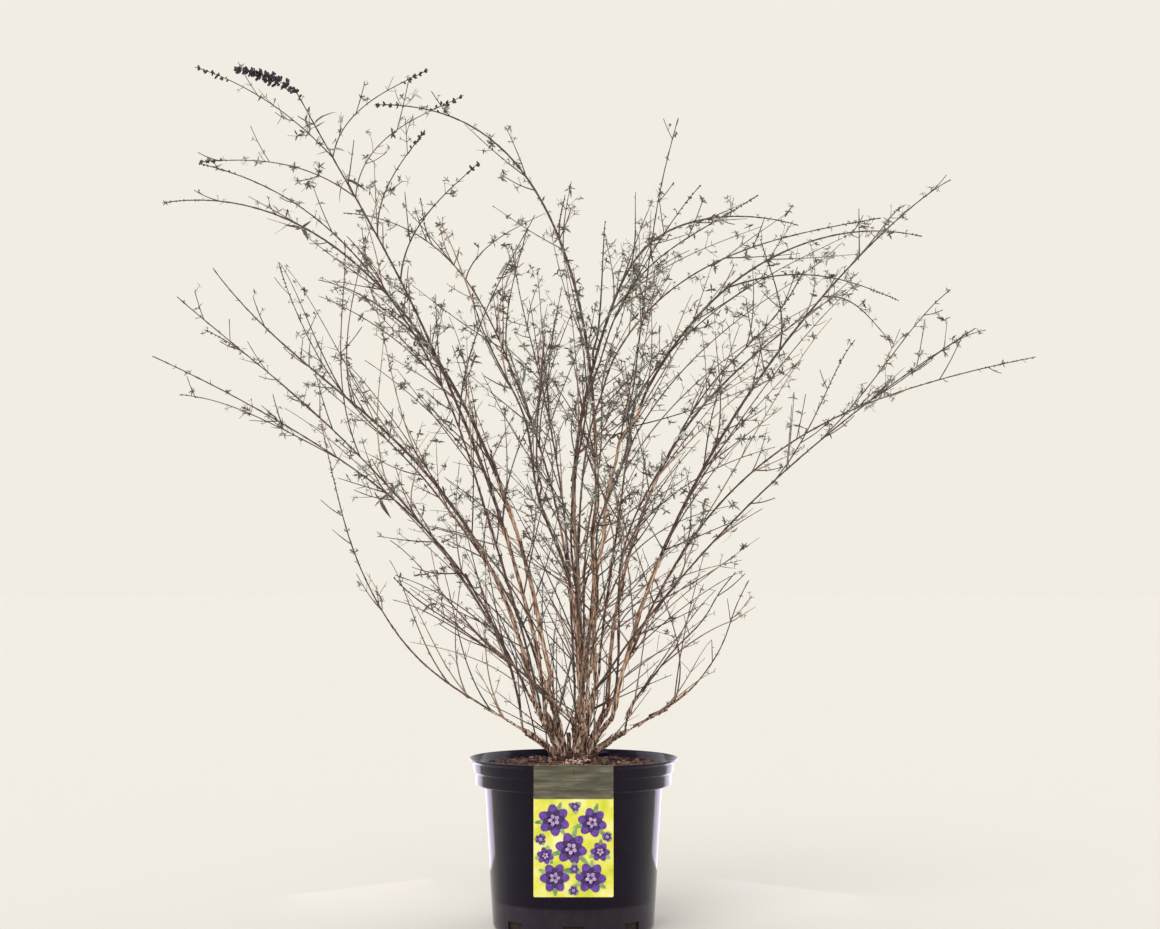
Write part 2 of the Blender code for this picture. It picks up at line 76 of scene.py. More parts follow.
def add_node(tree, kind, feeds=None, **settings):
    """One node with its settings; feeds gives a socket, by name or number, a value or a link."""
    node = tree.nodes.new(kind)
    for name, value in settings.items():
        setattr(node, name, value)
    for socket, value in (feeds or {}).items():
        if isinstance(value, bpy.types.NodeSocket):
            tree.links.new(value, node.inputs[socket])
        else:
            node.inputs[socket].default_value = value
    return node


def substance(name, **sockets):
    """A new material with plain numbers set on its shader's own sockets."""
    made = bpy.data.materials.new(name)
    made.use_nodes = True
    shader = made.node_tree.nodes["Principled BSDF"]
    for socket, value in sockets.items():
        shader.inputs[socket.replace("_", " ")].default_value = value
    return made, made.node_tree, shader


def ramp_of(tree, factor, stops):
    """A colour ramp through (place, hex colour) stops, read by a factor."""
    node = add_node(tree, "ShaderNodeValToRGB", {"Fac": factor})
    band = node.color_ramp
    while len(band.elements) < len(stops):
        band.elements.new(0.5)
    for element, (place, colour) in zip(band.elements, stops):
        element.position = place
        element.color = linear(colour)
    return node.outputs["Color"]


def grained(name, stops, size, bump, stretch=(1, 1, 1), along_limb=False, **sockets):
    """A matt natural surface: noise with grains of so many millimetres gives colour and relief."""
    made, tree, shader = substance(name, **sockets)
    if along_limb:
        place = add_node(tree, "ShaderNodeUVMap", uv_map="grain").outputs["UV"]
    else:
        place = add_node(tree, "ShaderNodeTexCoord").outputs["Object"]
    scaled = add_node(tree, "ShaderNodeMapping", {"Vector": place, "Scale": stretch})
    grain = add_node(tree, "ShaderNodeTexNoise", {
        "Vector": scaled.outputs["Vector"], "Scale": 1 / (size * MM), "Detail": 4, "Roughness": 0.6,
    })
    tree.links.new(ramp_of(tree, grain.outputs["Fac"], stops), shader.inputs["Base Color"])
    relief = add_node(tree, "ShaderNodeBump", {
        "Height": grain.outputs["Fac"], "Strength": 0.6, "Distance": bump * MM,
    })
    tree.links.new(relief.outputs["Normal"], shader.inputs["Normal"])
    return made


print("white as linear light:", linear("F2EDE3")[:3])

# %% [markdown]
# ## Camera
# The picture was taken from nearly level, a little under half way up the bush, with a short
# telephoto. The pot's width, taken as 280 mm, gave the scale, and the ellipse of its rim gave the
# height of the camera over it. The frame is shifted by a few pixels, because the pot stands left
# of centre.

# %% Camera
CAMERA_AT = (0, -2.875, 0.473)
CAMERA_UP = 2.9
FOCAL = 66
SENSOR = 36
PIXELS_ACROSS = 1160
PIXELS_DOWN = 929
SHIFT = 6.5 / PIXELS_ACROSS

camera_data = bpy.data.cameras.new("camera")
camera_data.lens = FOCAL
camera_data.sensor_width = SENSOR
camera_data.shift_x = SHIFT
camera = bpy.data.objects.new("camera", camera_data)
camera.location = CAMERA_AT
camera.rotation_euler = (math.radians(90 + CAMERA_UP), 0, 0)
bpy.context.scene.collection.objects.link(camera)
bpy.context.scene.camera = camera
print("camera at", CAMERA_AT)

# %% [markdown]
# ## Floor and light
# The bush was photographed in front of a bright, warm white paper. A wide floor and an even sky
# of the same tone give that from every side. Broad soft lights come from behind left and right,
# and one from the front and above brings out the bark. Two softboxes stand on the floor behind
# the pot, out of the picture. They are left out of diffuse light: they are there for the glossy
# wall, which mirrors them as a pale band down each side.

# %% Floor and light
PAPER = "F2EDE3"
SKY_LIGHT = 0.8
FLOOR_TONE = "D6D1C8"
FLOOR_RADIUS = 40
LIGHTS_AWAY = 4
LIGHTS = [
    # name, bearing it comes from, height in degrees, strength, width in degrees
    ("left_back", 158, 20, 0.8, 50),
    ("right_back", 22, 20, 0.8, 50),
    ("front_top", -112, 48, 1.5, 40),
]
SOFTBOXES = [("left_softbox", 132), ("right_softbox", 48)]
SOFTBOX_AWAY = 0.48
SOFTBOX_SIZE = 0.28
SOFTBOX_WATTS = 0.6
SOFTBOX_TONE = "E4DDFA"


def build_stage():
    """The pale floor, the even sky and the three soft lights."""
    scene = bpy.context.scene
    scene.view_settings.view_transform = "Standard"
    mesh_data = bmesh.new()
    bmesh.ops.create_circle(mesh_data, cap_ends=True, segments=64, radius=FLOOR_RADIUS)
    mesh = bpy.data.meshes.new("floor")
    mesh_data.to_mesh(mesh)
    mesh_data.free()
    floor = bpy.data.objects.new("floor", mesh)
    scene.collection.objects.link(floor)
    made, tree, shader = substance("paper", Roughness=0.9)
    shader.inputs["Specular IOR Level"].default_value = 0.1
    shader.inputs["Base Color"].default_value = linear(FLOOR_TONE)
    mesh.materials.append(made)
    world = bpy.data.worlds.new("sky")
    world.use_nodes = True
    scene.world = world
    tree = world.node_tree
    seen = tree.nodes["Background"]
    seen.inputs["Color"].default_value = linear(PAPER)
    lighting = add_node(tree, "ShaderNodeBackground",
                        {"Color": linear("FFFFFF"), "Strength": SKY_LIGHT})
    path = add_node(tree, "ShaderNodeLightPath")
    both = add_node(tree, "ShaderNodeMixShader", {
        0: path.outputs["Is Camera Ray"], 1: lighting.outputs[0], 2: seen.outputs[0],
    })
    tree.links.new(both.outputs[0], tree.nodes["World Output"].inputs["Surface"])
    for name, bearing, height, strength, width in LIGHTS:
        data = bpy.data.lights.new(name, "SUN")
        data.energy = strength
        data.angle = math.radians(width)
        light = bpy.data.objects.new(name, data)
        a, e = math.radians(bearing), math.radians(height)
        way = Vector((math.cos(a) * math.cos(e), math.sin(a) * math.cos(e), math.sin(e)))
        light.rotation_euler = way.to_track_quat("Z", "Y").to_euler()
        light.location = way * LIGHTS_AWAY
        light.visible_camera = False
        scene.collection.objects.link(light)
    for name, bearing in SOFTBOXES:
        data = bpy.data.lights.new(name, "AREA")
        data.shape = "SQUARE"
        data.size = SOFTBOX_SIZE
        data.energy = SOFTBOX_WATTS
        data.color = linear(SOFTBOX_TONE)[:3]
        light = bpy.data.objects.new(name, data)
        a = math.radians(bearing)
        way = Vector((math.cos(a), math.sin(a), 0))
        light.rotation_euler = way.to_track_quat("Z", "Y").to_euler()
        light.location = way * SOFTBOX_AWAY + Vector((0, 0, SOFTBOX_SIZE / 2))
        light.visible_camera = False
        light.visible_diffuse = False
        scene.collection.objects.link(light)


build_stage()
print("lights:", [row[0] for row in LIGHTS + SOFTBOXES])

# %% [markdown]
# ## Meshes from arrays
# A bush is thousands of small things. Blender is quickest when each kind is one mesh, so points
# and faces are gathered in a pile first and turned into one object at the end.


# %% Meshes from arrays
def unit(vector):
    return vector / max(np.linalg.norm(vector), 1e-9)


class Pile:
    """Points and faces of one piece, with a finish number and a place along the limb for each."""

    def __init__(self):
        self.points, self.faces, self.finish, self.places, self.count = [], [], [], [], 0

    def add(self, points, faces, finish=0, places=None):
        """Faces are rows of point numbers; places are two numbers for each corner of each face."""
        faces = np.asarray(faces)
        self.points.append(np.asarray(points))
        self.faces += (faces + self.count).tolist()
        self.finish.append(np.broadcast_to(finish, len(faces)))
        self.places.append(np.zeros((faces.size, 2)) if places is None else places.reshape(-1, 2))
        self.count += len(points)

    def build(self, name, finishes, smooth=True):
        """The gathered piece as an object that rides with the pot and the plant."""
        mesh = bpy.data.meshes.new(name)
        mesh.from_pydata(np.vstack(self.points), [], self.faces)
        for finish in finishes:
            mesh.materials.append(finish)
        mesh.polygons.foreach_set("material_index", np.concatenate(self.finish).astype(np.int32))
        grain = mesh.uv_layers.new(name="grain")
        grain.data.foreach_set("uv", np.concatenate(self.places).astype(np.float32).ravel())
        mesh.update()
        if smooth:
            mesh.shade_smooth()
        made = bpy.data.objects.new(name, mesh)
        bpy.context.scene.collection.objects.link(made)
        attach(made, "root")
        triangles = sum(len(face) - 2 for face in self.faces)
        print(name, "triangles:", triangles)
        return made


def grid_faces(rings, sides):
    """The four-sided faces between rings of points that are closed round."""
    k, s = np.meshgrid(np.arange(rings - 1), np.arange(sides), indexing="ij")
    n = (s + 1) % sides
    return np.stack([k * sides + s, k * sides + n, (k + 1) * sides + n, (k + 1) * sides + s],
                    axis=-1).reshape(-1, 4)


# %% [markdown]
# ## The pot
# A ten litre nursery pot is blow-moulded or injection-moulded from recycled black
# polypropylene: a wall of 1.5 to 2 mm, a stiff double band under the lip and slots low in the
# wall for drainage. It could be a cylinder with a bevel, but the two ledges are what the light
# draws as thin bright lines, so the wall is turned from an outline with every edge rounded, and
# the slots are cut with a Boolean.

# %% Black polypropylene
# Polypropylene has an IOR of 1.49. The pigmented wall mirrors less than that head on, so it is
# set a little lower here, with a violet cast. Scuffs in 25 mm clouds blur the reflections
# unevenly. The foot of the wall, below 38 mm, is painted lighter: a painted reflection of the
# pale floor that the tapered wall mirrors there. The pale bands down its sides are no part of the
# finish: the wall mirrors the two softboxes.
# Height under which the wall is painted lighter: a painted reflection of the pale floor.
FLOOR_REFLECTION_FOOT = 38 * MM


def black_polypropylene():
    made, tree, shader = substance("black_polypropylene", IOR=1.36)
    shader.inputs["Specular Tint"].default_value = linear("D0C2E2")
    place = add_node(tree, "ShaderNodeTexCoord").outputs["Object"]
    clouds = add_node(tree, "ShaderNodeTexNoise", {
        "Vector": place, "Scale": 1 / (25 * MM), "Detail": 6, "Roughness": 0.7,
    }).outputs["Fac"]
    height = add_node(tree, "ShaderNodeSeparateXYZ", {0: place}).outputs["Z"]
    # Painted reflection: below this height the base colour turns lighter, standing in for the floor
    # the wall mirrors.
    painted_reflection = add_node(tree, "ShaderNodeMapRange", {
        "Value": height, "From Min": FLOOR_REFLECTION_FOOT + 1.5 * MM, "From Max": FLOOR_REFLECTION_FOOT - 1.5 * MM,
    })
    both = add_node(tree, "ShaderNodeMix", {
        0: painted_reflection.outputs["Result"], 6: ramp_of(tree, clouds, [(0.3, "0B0711"), (0.7, "150E1B")]),
        7: ramp_of(tree, clouds, [(0.3, "262129"), (0.7, "332D34")]),
    }, data_type="RGBA")
    tree.links.new(both.outputs[2], shader.inputs["Base Color"])
    rough = add_node(tree, "ShaderNodeMapRange", {
        "Value": clouds, "From Min": 0.3, "From Max": 0.7, "To Min": 0.07, "To Max": 0.15,
    })
    tree.links.new(rough.outputs["Result"], shader.inputs["Roughness"])
    peel = add_node(tree, "ShaderNodeTexNoise", {"Vector": place, "Scale": 1 / (4 * MM)})
    relief = add_node(tree, "ShaderNodeBump", {
        "Height": peel.outputs["Fac"], "Strength": 0.08, "Distance": 0.3 * MM,
    })
    tree.links.new(relief.outputs["Normal"], shader.inputs["Normal"])
    return made


POLYPROPYLENE = black_polypropylene()
print("made", POLYPROPYLENE.name)

# %% Pot wall
POT_SIDES = 160
POT_OUTLINE = [
    # radius, height, rounding of the corner, all in millimetres
    (102, 0, 0.5), (106.5, 1.2, 1.0), (108, 5, 2.0), (119.6, 187.5, 1.4), (131.6, 189.1, 2.2),
    (131.6, 205.4, 1.6), (134.4, 206.4, 1.4), (136, 219.6, 1.6), (139.7, 221.6, 1.0),
    (139.9, 225, 0.9), (137.6, 225, 0.7), (134.4, 219.8, 2.0), (131.6, 208, 2.0),
    (129.9, 204.6, 1.0), (129.7, 190.9, 1.4), (117.6, 188.7, 1.2), (106, 6, 2.0), (102, 3, 1.0),
]
SLOTS = 8
SLOT_SIZE = (10 * MM, 26 * MM, 12 * MM)
SLOT_MIDDLE = 11 * MM
SLOT_REACH = 108 * MM


def rounded(outline, steps=4):
    """An outline whose corners are replaced by short arcs."""
    corners = np.array([row[:2] for row in outline], float)
    points = [corners[0]]
    for k in range(1, len(corners) - 1):
        before, here, after = corners[k - 1:k + 2]
        reach = min(outline[k][2], np.linalg.norm(before - here) / 2.2,
                    np.linalg.norm(after - here) / 2.2)
        start, end = here + unit(before - here) * reach, here + unit(after - here) * reach
        for t in np.linspace(0, 1, steps):
            points.append((1 - t) ** 2 * start + 2 * t * (1 - t) * here + t * t * end)
    return np.array(points + [corners[-1]])


def turned(outline, sides):
    """Rings of points round the upright axis through an outline in millimetres."""
    angle = np.linspace(0, 2 * math.pi, sides, endpoint=False) - math.pi / 2
    rings = [np.column_stack([np.cos(angle) * radius, np.sin(angle) * radius,
                              np.full(sides, height)]) for radius, height in outline]
    return np.vstack(rings) * MM


def build_pot():
    """The turned wall with its floor, and the slots cut through it."""
    outline = rounded(POT_OUTLINE)
    pile = Pile()
    pile.add(turned(outline, POT_SIDES), grid_faces(len(outline), POT_SIDES))
    last = (len(outline) - 1) * POT_SIDES
    pile.faces += [list(range(POT_SIDES))[::-1], list(range(last, last + POT_SIDES))]
    pile.finish.append(np.zeros(2, int))
    pile.places.append(np.zeros((2 * POT_SIDES, 2)))
    pot = pile.build("nursery_pot", [POLYPROPYLENE])
    cutters = bmesh.new()
    for slot in range(SLOTS):
        place = (Matrix.Rotation(2 * math.pi * slot / SLOTS - math.pi / 2, 4, "Z")
                 @ Matrix.Translation((SLOT_REACH, 0, SLOT_MIDDLE))
                 @ Matrix.Diagonal((*SLOT_SIZE, 1)))
        bmesh.ops.create_cube(cutters, size=1, matrix=place)
    mesh = bpy.data.meshes.new("slots")
    cutters.to_mesh(mesh)
    cutters.free()
    cutter = bpy.data.objects.new("slots", mesh)
    bpy.context.scene.collection.objects.link(cutter)
    cut = pot.modifiers.new("Slots", "BOOLEAN")
    cut.operation = "DIFFERENCE"
    cut.object = cutter
    cut.solver = "EXACT"
    cut_mesh = bpy.data.meshes.new_from_object(
        pot.evaluated_get(bpy.context.evaluated_depsgraph_get()))
    pot.modifiers.clear()
    pot.data = cut_mesh
    bpy.data.objects.remove(cutter)
    cut_mesh.shade_smooth()
    cut_mesh.set_sharp_from_angle(angle=math.radians(50))
    return pot


pot = build_pot()
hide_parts("pot")

# %% [markdown]
# ## The compost
# Nursery compost for shrubs is milled bark with peat: a dark moist ground with chips of 2 to
# 13 mm, some of them turned pale by the sun. The solid from the frame stays as the ground, and a
# crust of loose chips lies on it. Each chip is a squashed, uneven little block with its own size
# and turn, and the browns are dealt chip by chip.

# %% Compost and bark chips
# Moist bark is very rough and scatters light like earth, with an IOR near 1.5.
MOIST_EARTH = grained("moist_compost", [(0.35, "1A110D"), (0.55, "2E1F18"), (0.7, "45322A")],
                      3, 1.5, Roughness=0.95, IOR=1.5)
CHIP_FINISHES = [
    grained("dark_bark_chips", [(0.35, "2C1C17"), (0.65, "4A332A")], 1.5, 0.5, Roughness=0.9),
    grained("red_brown_bark_chips", [(0.35, "472B20"), (0.65, "6B4534")], 1.5, 0.5, Roughness=0.9),
    grained("brown_bark_chips", [(0.35, "624636"), (0.65, "866753")], 1.5, 0.5, Roughness=0.9),
    grained("sun_bleached_bark_chips", [(0.35, "8A705A"), (0.65, "B19A80")], 1.5, 0.5,
            Roughness=0.9),
]
CHIP_SHARES = (0.42, 0.32, 0.18, 0.08)
CHIPS = 3400
CHIP_SIZE = (2.5, 13)
COMPOST_RADIUS = 130
COMPOST_PROFILE = [(0, 231), (12, 230.5), (24, 229), (33, 225), (38, 219), (50, 216.2),
                   (74, 215.5), (98, 214), (120, 212.5), (131, 210.5)]


def compost_height(radius):
    """The height of the compost, which also covers the foot of the bush."""
    return np.interp(radius, *np.array(COMPOST_PROFILE).T)


def build_chips():
    """Loose chips all over the compost, smaller ones more often."""
    rng = np.random.default_rng(11)
    block = np.array([(x, y, z) for z in (-1, 1) for x, y in ((-1, -1), (1, -1), (1, 1), (-1, 1))])
    faces = np.array([(3, 2, 1, 0), (4, 5, 6, 7), (0, 1, 5, 4), (1, 2, 6, 5), (2, 3, 7, 6),
                      (3, 0, 4, 7)])
    pile = Pile()
    for _ in range(CHIPS):
        radius = COMPOST_RADIUS * math.sqrt(rng.uniform(0, 1))
        bearing = rng.uniform(0, 2 * math.pi)
        size = CHIP_SIZE[0] + (CHIP_SIZE[1] - CHIP_SIZE[0]) * rng.uniform(0, 1) ** 3
        size = min(size, 2 * (COMPOST_RADIUS + 3 - radius))
        form = block * (1, rng.uniform(0.4, 0.8), rng.uniform(0.15, 0.4)) * size / 2
        form = form * rng.uniform(0.65, 1.1, form.shape)
        turn = Matrix.Rotation(rng.uniform(0, 6.3), 3, "Z") @ Matrix.Rotation(
            rng.normal(0, 0.35), 3, "X") @ Matrix.Rotation(rng.normal(0, 0.35), 3, "Y")
        lift = compost_height(radius) + rng.uniform(-0.1, 0.35) * size * 0.5
        centre = (math.cos(bearing) * radius, math.sin(bearing) * radius, lift)
        points = form @ np.array(turn).T + centre
        pile.add(points * MM, faces, rng.choice(4, p=CHIP_SHARES))
    return pile.build("bark_chips", CHIP_FINISHES, smooth=False)


build_chips()
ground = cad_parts["compost"]
ground.data.materials.clear()
ground.data.materials.append(MOIST_EARTH)

# %% [markdown]
# ## The picture label
# Garden centres hang a printed polypropylene card on the pot. The card is sheet plastic of under
# a millimetre with a satin varnish and a strap that is bent over the lip. Its print is flat
# colour here: weathered boards above, and below a bright yellow-green ground with round violet
# blooms and pale leaves. Each printed form is a thin face just proud of the card, which keeps
# the edges crisp at any distance.

# %% Printed card
# Varnished polypropylene: IOR 1.49, roughness near 0.3. The card's print mottles softly.
PRINT = {
    name: grained(f"printed_{name}", stops, size, 0.02, stretch, Roughness=0.32, IOR=1.49)
    for name, stops, size, stretch in [
        ("boards", [(0.3, "3B392B"), (0.5, "54503F"), (0.7, "736E58")], 9, (0.25, 1, 1.6)),
        ("seams", [(0.3, "2E2E20"), (0.7, "3D3C2C")], 4, (1, 1, 1)),
        ("lime", [(0.3, "BCCB2A"), (0.48, "E3E04C"), (0.68, "F6F3A6")], 34, (1, 1, 1)),
        ("leaf", [(0.3, "4E7A3A"), (0.7, "A9C58A")], 14, (1, 1, 1)),
        ("violet", [(0.3, "48277E"), (0.7, "774BAE")], 4, (1, 1, 1)),
        ("deep_violet", [(0.3, "2B1349"), (0.7, "4C2A72")], 4, (1, 1, 1)),
        ("mauve", [(0.3, "9474AE"), (0.7, "D0B8D8")], 4, (1, 1, 1)),
        ("white", [(0.3, "DAD9CC"), (0.7, "F0EFE6")], 20, (1, 1, 1)),
    ]
}
PRINT_NAMES = list(PRINT)
CARD_HALF = 51 * MM
CARD_TOP = 226.6 * MM
CARD_LOW = 59.6 * MM
CARD_FRONT = -141.3 * MM
CARD_BACK = -140.35 * MM
CARD_CORNER = 2 * MM
BOARDS_LOW = CARD_TOP - 43 * MM
BOARD_SEAMS = (9.5, 20.5, 31.5)
INK = 0.03 * MM
BLOOM_RINGS = [
    # colour, number of petals, their share of the bloom's reach
    ("violet", 6, 0.8), ("deep_violet", 6, 0.55), ("mauve", 5, 0.3),
]
STRAP_HALF = 3.9
STRAP_THICK = 0.5
STRAP_PATH = [
    # depth and height of the strap's middle, in millimetres, as its two sizes above
    (-141.1, 222), (-141.1, 225.6), (-140.2, 226.5), (-134, 226.5), (-131.8, 225.6),
    (-131.3, 222), (-131.5, 215),
]
LABEL_BLOOMS = [
    # place across and height of the middle, and the reach of the petals, in millimetres
    (-25, 157, 26), (24, 154, 24), (-3, 121, 26), (34, 117, 16), (-36, 112, 14), (22, 84, 25),
    (-24, 84, 24), (-42, 133, 9), (1, 95, 8), (43, 136, 8), (0, 68, 8), (2, 174, 8),
]


def card_outline(low, high, half, corner):
    """Corner points of an upright rectangle with rounded corners, anticlockwise."""
    points = []
    for cx, cz, start in ((half - corner, low + corner, -90), (half - corner, high - corner, 0),
                          (corner - half, high - corner, 90), (corner - half, low + corner, 180)):
        for step in range(5):
            a = math.radians(start + 22.5 * step)
            points.append((cx + corner * math.cos(a), cz + corner * math.sin(a)))
    return points


def printed(pile, points, finish, layer):
    """One flat printed form on the card's face, from (x, z) points in metres."""
    rows = [(x, CARD_FRONT - INK * layer, z) for x, z in points]
    pile.add(rows, [list(range(len(rows)))], PRINT_NAMES.index(finish))


def petal(x, z, turn, length, width, steps=12):
    """A pointed oval that starts at a point and leads away from it."""
    a = math.radians(turn)
    points = []
    for k in range(steps):
        t = 2 * math.pi * k / steps
        along, side = (1 - math.cos(t)) / 2 * length, math.sin(t) * width / 2
        points.append((x + math.cos(a) * along - math.sin(a) * side,
                       z + math.sin(a) * along + math.cos(a) * side))
    return points


def build_label():
    """The card and its print."""
    rng = random.Random(5)
    pile = Pile()
    rim = card_outline(CARD_LOW, CARD_TOP, CARD_HALF, CARD_CORNER)
    count = len(rim)
    front = [(x, CARD_FRONT, z) for x, z in rim]
    back = [(x, CARD_BACK, z) for x, z in rim]
    pile.add(front + back, [[k, (k + 1) % count, (k + 1) % count + count, k + count][::-1]
                            for k in range(count)], PRINT_NAMES.index("white"))
    pile.add(back, [list(range(count))[::-1]], PRINT_NAMES.index("white"))
    pile.add(front, [list(range(count))], PRINT_NAMES.index("lime"))
    printed(pile, card_outline(BOARDS_LOW, CARD_TOP, CARD_HALF, CARD_CORNER * 0.9), "boards", 1)
    for drop in BOARD_SEAMS:
        z = CARD_TOP - drop * MM
        wave = [(x, z + 0.3 * MM * math.sin(k)) for k, x in
                enumerate(np.linspace(-CARD_HALF, CARD_HALF, 14))]
        printed(pile, wave + [(x, height - 0.7 * MM) for x, height in wave[::-1]], "seams", 2)
    for k, (x, z, size) in enumerate(LABEL_BLOOMS):
        turn = rng.uniform(0, 60)
        for leaf in range(3):
            way = turn + 30 + 120 * leaf
            reach = min(size * 1.15, CARD_HALF / MM - 1 - abs(x), z - CARD_LOW / MM - 1)
            printed(pile, petal(x * MM, z * MM, way, reach * MM, 6 * MM), "leaf", 2 + 3 * k)
        for ring, (finish, petals, share) in enumerate(BLOOM_RINGS):
            for p in range(petals):
                way = turn + 360 / petals * (p + ring / 2)
                points = petal(x * MM, z * MM, way, size * share * MM, size * share * 0.66 * MM)
                printed(pile, points, finish, 3 + 3 * k + ring)
    eyelet = [(0.9 * MM * math.cos(t), CARD_TOP - 9 * MM + 4 * MM * math.sin(t))
              for t in np.linspace(0, 2 * math.pi, 16, endpoint=False)]
    printed(pile, eyelet, "seams", 3)
    return pile.build("label_card", list(PRINT.values()), smooth=False)


def build_strap():
    """The narrow strap from the card's top edge over the lip of the pot and down inside it."""
    pile = Pile()
    points = []
    for k, (y, z) in enumerate(STRAP_PATH):
        before = STRAP_PATH[max(k - 1, 0)]
        after = STRAP_PATH[min(k + 1, len(STRAP_PATH) - 1)]
        way = unit(np.array(after) - np.array(before))
        out = np.array((way[1], -way[0])) * STRAP_THICK / 2
        low, high = (y - out[0], z - out[1]), (y + out[0], z + out[1])
        points += [(-STRAP_HALF, *low), (STRAP_HALF, *low),
                   (STRAP_HALF, *high), (-STRAP_HALF, *high)]
    pile.add(np.array(points) * MM, grid_faces(len(STRAP_PATH), 4))
    end = 4 * (len(STRAP_PATH) - 1)
    pile.faces += [[0, 1, 2, 3], [end + 3, end + 2, end + 1, end]]
    pile.finish.append(np.zeros(2, int))
    pile.places.append(np.zeros((8, 2)))
    return pile.build("label_strap", [PRINT["boards"]], smooth=False)


label = build_label()
build_strap()
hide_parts("label")

# %% [markdown]
# ## The skeleton of the bush
# A butterfly bush that is cut back each spring stands on a woody stool. Short main stems fork
# close over the ground, long canes arch from the forks, side shoots leave the canes and twigs
# leave both in opposite pairs, each pair a quarter turn on from the last. Painting curves by hand
# would take days and never match the solids, so the same tables and the same seeded rule that
# made the solids are written here again: every limb runs exactly through its own solid.

# %% Tables of the skeleton
GROUND = 216.5 * MM
STEM_START = 6
STEM_RADIUS = 4.8
FORK_RADIUS = 3.8
MAIN_STEMS = {
    # name: foot bearing, foot reach, fork bearing, fork reach, fork height over the ground
    "left_low": (-170, 15, -176, 68, 45),
    "left_front": (-150, 13, -152, 46, 58),
    "left": (170, 16, 172, 52, 76),
    "left_back": (130, 15, 138, 50, 64),
    "tall_left": (-160, 9, 178, 34, 98),
    "middle": (60, 7, 55, 18, 100),
    "centre": (-60, 7, -50, 20, 74),
    "back": (85, 16, 85, 48, 60),
    "tall_right": (10, 10, 12, 32, 104),
    "right_back": (35, 15, 28, 54, 72),
    "right_front": (-30, 15, -22, 56, 62),
    "right_low": (-5, 16, -3, 70, 42),
    "front": (-85, 14, -68, 40, 46),
}
CANES = [
    # main stem, tip bearing, tip reach, tip height, lean at foot, lean at tip, bow at foot,
    # bow at tip, length of the spent flower spike
    ("left_low", 147, 441, 689, 66, 12, 32, 55, 0),
    ("left_low", -165, 559, 750, 8, 66, 34, 45, 0),
    ("front", -133, 326, 466, 50, 56, 40, 40, 0),
    ("left", 175, 550, 853, 26, 50, 42, 35, 0),
    ("left", 151, 619, 929, 12, 42, 42, 32, 0),
    ("left_back", 140, 593, 950, 16, 16, 40, 30, 0),
    ("tall_left", -165, 382, 1112, 12, 31, 30, 42, 15),
    ("tall_left", 165, 612, 1003, 7, 97, 48, 30, 0),
    ("left_front", -147, 546, 972, 14, 82, 52, 30, 0),
    ("middle", 154, 317, 1141, -9, 88, 51, 35, 45),
    ("middle", 136, 487, 1019, 8, 82, 48, 35, 0),
    ("middle", 45, 484, 1001, -7, 93, 72, 38, 0),
    ("centre", -22, 426, 928, -6, 84, 78, 32, 0),
    ("centre", -55, 390, 929, -7, 80, 74, 36, 0),
    ("back", 101, 509, 987, 12, 45, 45, 35, 0),
    ("back", 81, 546, 912, 18, 60, 45, 35, 0),
    ("tall_right", 19, 154, 1103, 8, 14, 40, 30, 0),
    ("tall_right", 14, 509, 949, -6, 100, 52, 33, 0),
    ("right_back", 42, 565, 907, 0, 63, 40, 46, 0),
    ("right_back", 12, 672, 779, 20, 78, 46, 42, 0),
    ("right_front", 0, 514, 1007, 10, 65, 45, 10, 0),
    ("centre", -15, 538, 788, 34, 58, 42, 30, 0),
    ("right_front", -56, 483, 826, 0, 61, 38, 50, 0),
    ("right_low", 22, 264, 462, 68, 22, 45, 40, 0),
    ("right_low", -50, 312, 473, 38, 50, 40, 30, 0),
    ("front", -104, 475, 783, 14, 50, 45, 35, 0),
    ("front", -82, 525, 686, 18, 60, 45, 35, 0),
]
SHOOTS = [
    # cane number, per cent of the cane's length, tip bearing, tip reach, tip height, flower spike
    (7, 99, -165, 457, 1130, 75), (7, 88, -177, 513, 1156, 55), (7, 88, -168, 200, 1149, 40),
    (7, 81, -125, 244, 1078, 55), (7, 81, -179, 508, 1030, 30), (7, 74, -140, 250, 1042, 35),
    (7, 67, -171, 131, 1026, 20),
    (8, 50, 152, 420, 897, 0), (4, 55, -169, 311, 915, 0), (4, 62, -168, 494, 790, 0),
    (10, 62, 120, 23, 990, 0), (11, 52, 137, 88, 951, 0), (11, 78, 144, 273, 1011, 0),
    (9, 45, -117, 112, 942, 0), (12, 44, 25, 48, 953, 0), (18, 66, 27, 538, 873, 0),
    (21, 80, 12, 478, 990, 0), (21, 62, 4, 257, 928, 0), (22, 55, -3, 380, 786, 0),
    (22, 66, -25, 522, 827, 0), (20, 66, 23, 663, 831, 0), (2, 62, 178, 538, 715, 0),
    (14, 62, -44, 228, 971, 0), (26, 50, -95, 381, 758, 0), (27, 50, -87, 420, 672, 0),
    (15, 55, 93, 361, 904, 0), (16, 55, 67, 458, 849, 0), (3, 45, -166, 250, 515, 0),
]
ROOT_SWELL = 0.6
CANE_SHARE = 0.42
THIN_CANE = 1.3 * MM
THICKENING = 0.0010
STOUT_CANES = (5, 7, 8, 10, 12, 18, 19, 21, 26)
STOUT_THICKENING = 0.0023
SWAY = 6 * MM
TAPER = 0.9
CLEARANCE = 1.5 * MM
FORK_WEB = 14 * MM
OPENING = 0.02
LOOK_ROUND = 26 * MM
HELD_ROOT = 20 * MM
EASING_PASSES = 40
EASED = 0.2 * MM
SHOOT_SHARE = 0.75
SHOOT_ARCH = 0.08
STEP = 5 * MM
SLANT = (0.31, 0.17, 1.0)
TIP_RADIUS = 0.8 * MM
TWIG_SPACING = 78 * MM
TWIG_LENGTH = 95 * MM
SHOOT_TWIG_LENGTH = 60 * MM
TWIG_SPREAD = 44
